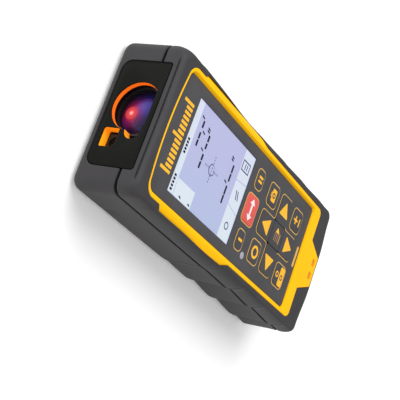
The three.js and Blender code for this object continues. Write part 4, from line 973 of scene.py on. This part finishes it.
def lining_painted_light_finish():
    """The lining's orange is painted shade with a painted red glare: yellower at the camera's side and redder towards
    the laser, painted shade that turns it dark deep inside the keyhole, and a faint painted glow of its own.
    """
    material, nodes, links, shader = new_finish("lining_painted_light")
    place = nodes.new("ShaderNodeTexCoord")
    split = nodes.new("ShaderNodeSeparateXYZ")
    links.new(place.outputs["Object"], split.inputs["Vector"])
    across = nodes.new("ShaderNodeMapRange")
    across.inputs["From Min"].default_value = -9 * MM
    across.inputs["From Max"].default_value = -3 * MM
    links.new(split.outputs["X"], across.inputs["Value"])
    # Painted red glare: the tone turns redder from the camera's side towards the laser.
    tone = nodes.new("ShaderNodeValToRGB")
    tone.color_ramp.elements[0].color = (1.0, 0.42, 0.01, 1)
    tone.color_ramp.elements[1].color = (1.0, 0.17, 0.005, 1)
    links.new(across.outputs["Result"], tone.inputs["Fac"])
    # Painted shade: the colour falls to black deeper than 2.5 mm inside the opening, except at the camera's side.
    front = nodes.new("ShaderNodeMapRange")
    front.inputs["From Min"].default_value = (LENS_END - 2.5) * MM
    front.inputs["From Max"].default_value = (LENS_END - 2.2) * MM
    links.new(split.outputs["Y"], front.inputs["Value"])
    camera_side = nodes.new("ShaderNodeMapRange")
    camera_side.inputs["From Min"].default_value = -5.6 * MM
    camera_side.inputs["From Max"].default_value = -6.0 * MM
    links.new(split.outputs["X"], camera_side.inputs["Value"])
    lit = nodes.new("ShaderNodeMath")
    lit.operation = "MAXIMUM"
    links.new(front.outputs["Result"], lit.inputs[0])
    links.new(camera_side.outputs["Result"], lit.inputs[1])
    shade = nodes.new("ShaderNodeVectorMath")
    shade.operation = "SCALE"
    links.new(tone.outputs["Color"], shade.inputs[0])
    links.new(lit.outputs["Value"], shade.inputs["Scale"])
    links.new(shade.outputs["Vector"], shader.inputs["Base Color"])
    links.new(shade.outputs["Vector"], shader.inputs["Emission Color"])
    # A painted glow: the lining gives off some of its own colour as light.
    shader.inputs["Emission Strength"].default_value = 0.35
    shader.inputs["Roughness"].default_value = 0.4
    return material


LINING_PAINTED_LIGHT = lining_painted_light_finish()


def patch(nodes, links, place, centre, reach, stops):
    """A round patch of light on the lens: a ramp by the distance from centre (x and z), out to reach."""
    distance = nodes.new("ShaderNodeVectorMath")
    distance.operation = "DISTANCE"
    distance.inputs[1].default_value = (centre[0] * MM, (box("receiver_lens")[1][1] - 0.4) * MM, centre[1] * MM)
    links.new(place.outputs["Object"], distance.inputs[0])
    share = nodes.new("ShaderNodeMapRange")
    share.inputs["From Max"].default_value = reach * MM
    links.new(distance.outputs["Value"], share.inputs["Value"])
    ramp = nodes.new("ShaderNodeValToRGB")
    ramp.color_ramp.elements[0].color = (*stops[0][1], 1)
    ramp.color_ramp.elements[1].color = (0, 0, 0, 1)
    for position, colour in stops[1:]:
        ramp.color_ramp.elements.new(position).color = (*colour, 1)
    links.new(share.outputs["Result"], ramp.inputs["Fac"])
    return ramp.outputs["Color"]


def coated_lens_finish():
    """Dark coated glass with painted light of its own: a painted red glow round the laser's window, a painted blue
    sheen in front and a painted violet one behind.
    """
    material, nodes, links, shader = new_finish("coated_lens_painted_glow")
    place = nodes.new("ShaderNodeTexCoord")
    red = patch(nodes, links, place, LASER, 8, [(0, (0.8, 0.03, 0.03)), (0.3, (0.5, 0.012, 0.02)),
                                                (0.45, (0.16, 0.003, 0.012)), (0.75, (0.02, 0.0, 0.004))])
    blue = patch(nodes, links, place, LASER + np.array([2.8, 4.6]), 5.5,
                 [(0, (0.06, 0.06, 0.30)), (0.4, (0.03, 0.022, 0.20)), (0.75, (0.006, 0.004, 0.05))])
    violet = patch(nodes, links, place, LASER + np.array([-3.4, -2.2]), 4.5,
                   [(0, (0.03, 0.004, 0.08)), (0.5, (0.015, 0.002, 0.03))])
    first = nodes.new("ShaderNodeVectorMath")
    links.new(red, first.inputs[0])
    links.new(blue, first.inputs[1])
    both = nodes.new("ShaderNodeVectorMath")
    links.new(first.outputs["Vector"], both.inputs[0])
    links.new(violet, both.inputs[1])
    # The three patches are given off by the lens itself as light: painted glow and painted sheen.
    links.new(both.outputs["Vector"], shader.inputs["Emission Color"])
    shader.inputs["Emission Strength"].default_value = 0.8
    tint = nodes.new("ShaderNodeTexNoise")
    tint.inputs["Scale"].default_value = 160
    links.new(place.outputs["Object"], tint.inputs["Vector"])
    coat = nodes.new("ShaderNodeValToRGB")
    coat.color_ramp.elements[0].color = (0.008, 0.003, 0.02, 1)
    coat.color_ramp.elements[1].color = (0.012, 0.010, 0.06, 1)
    links.new(tint.outputs["Fac"], coat.inputs["Fac"])
    links.new(coat.outputs["Color"], shader.inputs["Base Color"])
    shader.inputs["Roughness"].default_value = 0.08
    shader.inputs["Specular Tint"].default_value = (0.4, 0.45, 1.0, 1)
    shader.inputs["Specular IOR Level"].default_value = 0.5
    return material


def add_lens_end():
    hole = rectangle(*CAMERA_HOLE, 0.6)
    low, high = box("end_window")
    plate = slab("window_plate", [window_outline(), keyhole_outline(0.42), grown(hole, 0.12)], low[1], high[1],
                 BLACK_GLOSS, bevel=0.05, along="y")
    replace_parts(plate, "end_window")
    lips = [keyhole_outline(0.4), keyhole_outline(0.3), grown(hole, 0.1), hole]
    slab("lining_lip", lips, low[1] - 0.3, high[1] - 0.4, LINING_PAINTED_LIGHT, along="y")
    low, high = box("aperture_insert")
    body = rectangle(low[0], high[0], low[2], high[2], 1.5)
    lining = slab("aperture_lining", [body, keyhole_outline(0.3), hole], low[1], high[1], LINING_PAINTED_LIGHT, bevel=0.05,
                  along="y")
    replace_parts(lining, "aperture_insert")
    low, high = box("receiver_lens")
    radius = 8.8
    dome = 2.4
    ball = (radius ** 2 + dome ** 2) / (2 * dome)
    r = np.linspace(radius, 0, 28)
    face = high[1] - ball + np.sqrt(ball ** 2 - r ** 2)
    profile = np.vstack([[(0, low[1]), (radius, low[1])], np.stack([r, face], 1)])
    lens = lathe_mesh("lens", profile, RECEIVER, sides=96)
    tools = [slab_mesh("lens_flat", [rectangle(-20, 20, FLAT_Z - 0.2, FLAT_Z + 20)], low[1] - 2, high[1] + 2, along="y"),
             slab_mesh("laser_hole", [circle(LASER[0], LASER[1], 2.55)], low[1] - 2, high[1] + 2, along="y")]
    piece = link("lens_dome", carve(lens, tools), coated_lens_finish(), "root")
    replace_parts(piece, "receiver_lens")
    hot, nodes, links, shader = new_finish("laser_window")
    place = nodes.new("ShaderNodeTexCoord")
    glow = patch(nodes, links, place, LASER, 3.5, [(0, (1.0, 0.75, 0.7)), (0.14, (1.0, 0.35, 0.33)),
                                                   (0.3, (0.7, 0.035, 0.045)), (0.7, (0.42, 0.012, 0.025))])
    links.new(glow, shader.inputs["Emission Color"])
    shader.inputs["Base Color"].default_value = (0.1, 0.005, 0.005, 1)
    shader.inputs["Emission Strength"].default_value = 1.0
    low = box("collimator_lens")[0][1]
    high = box("laser_module")[1][1]
    eye = lathe_mesh("laser_eye", [(0, low), (2.5, low), (2.5, high + 0.02), (1.2, high + 0.1), (0, high + 0.14)], LASER)
    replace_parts(link("laser_eye", eye, hot, "root"), "collimator_lens")


# ---------------------------------------------------------------- back


def add_back():
    low, high = box("battery_cover")
    hinge = ((low[2] + high[2]) / 2, low[1] + (high[2] - low[2]) / 2)
    notch = rounded([(-16.9, low[1] + 0.8), (16.9, low[1] + 0.8), (16.9, high[1]), (5.25, high[1]),
                     (5.25, high[1] - 4.75), (-5.25, high[1] - 4.75), (-5.25, high[1]), (-16.9, high[1])],
                    [0.05, 0.05, 0.4, 0.3, 0.3, 0.3, 0.3, 0.4])
    plate = slab_mesh("cover_plate", [notch], low[2], high[2], 0.2)
    roll = lathe_mesh("cover_roll", [(0, -16.9), (hinge[0] - low[2], -16.9), (hinge[0] - low[2], 16.9), (0, 16.9)],
                      (hinge[1], hinge[0]), axis="x", sides=40)
    stub = lathe_mesh("cover_stub", [(0, low[0]), (0.5, low[0]), (0.5, high[0]), (0, high[0])],
                      (hinge[1], hinge[0]), axis="x", sides=24)
    plate = carve(plate, [roll, stub], "UNION")
    ribs = [slab_mesh("rib_cut", [rectangle(-11, 11, y, y + 1.1, 0.5)], low[2] - 1, low[2] + 0.35)
            for y in np.arange(high[1] - 16, high[1] - 7, 2.2)]
    piece = link("cover_plate", carve(plate, ribs), RUBBER, "battery_cover")
    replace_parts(piece, "battery_cover")
    low, high = box("cover_latch")
    latch = slab_mesh("latch", [rectangle(low[0], high[0], low[1], high[1], 0.4)], low[2], high[2], 0.15)
    ridges = [slab_mesh("ridge_cut", [rectangle(low[0] + 1.2, high[0] - 1.2, y, y + 0.45)], low[2] - 1, low[2] + 0.3)
              for y in (low[1] + 0.6, low[1] + 1.35, low[1] + 2.1)]
    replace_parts(link("latch_tab", carve(latch, ridges), YELLOW, "cover_latch"), "cover_latch")


def finish_cad_nodes():
    """Finishes for the CAD pieces whose own shape is kept."""
    looks = {
        "lcd_frame": STEEL, "key_mat": SILICONE, "snap_domes": STEEL,
        "lens_barrel": BLACK, "laser_module": BRASS, "camera_module": BLACK, "camera_lens": GLASS,
        "optics_frame": BLACK, "detector_board": BOARD, "main_board": BOARD, "buzzer": BLACK,
        "battery_1": CELL, "battery_2": CELL, "contact_spring_1": STEEL, "contact_spring_2": STEEL,
        "contact_plate_1": STEEL, "contact_plate_2": STEEL, "end_piece": YELLOW, "end_piece_pin": STEEL,
        "tripod_insert": BRASS, "case_screw_1": STEEL, "case_screw_2": STEEL, "case_screw_3": STEEL,
        "case_screw_4": STEEL,
    }
    for name, finish in looks.items():
        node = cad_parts[name]
        for slot in node.material_slots:
            slot.material = finish


add_camera()
add_stage()
add_casing()
add_bezel()
add_panel()
add_keys()
add_key_marks()
add_panel_marks()
add_screen()
add_lens_end()
add_back()
finish_cad_nodes()
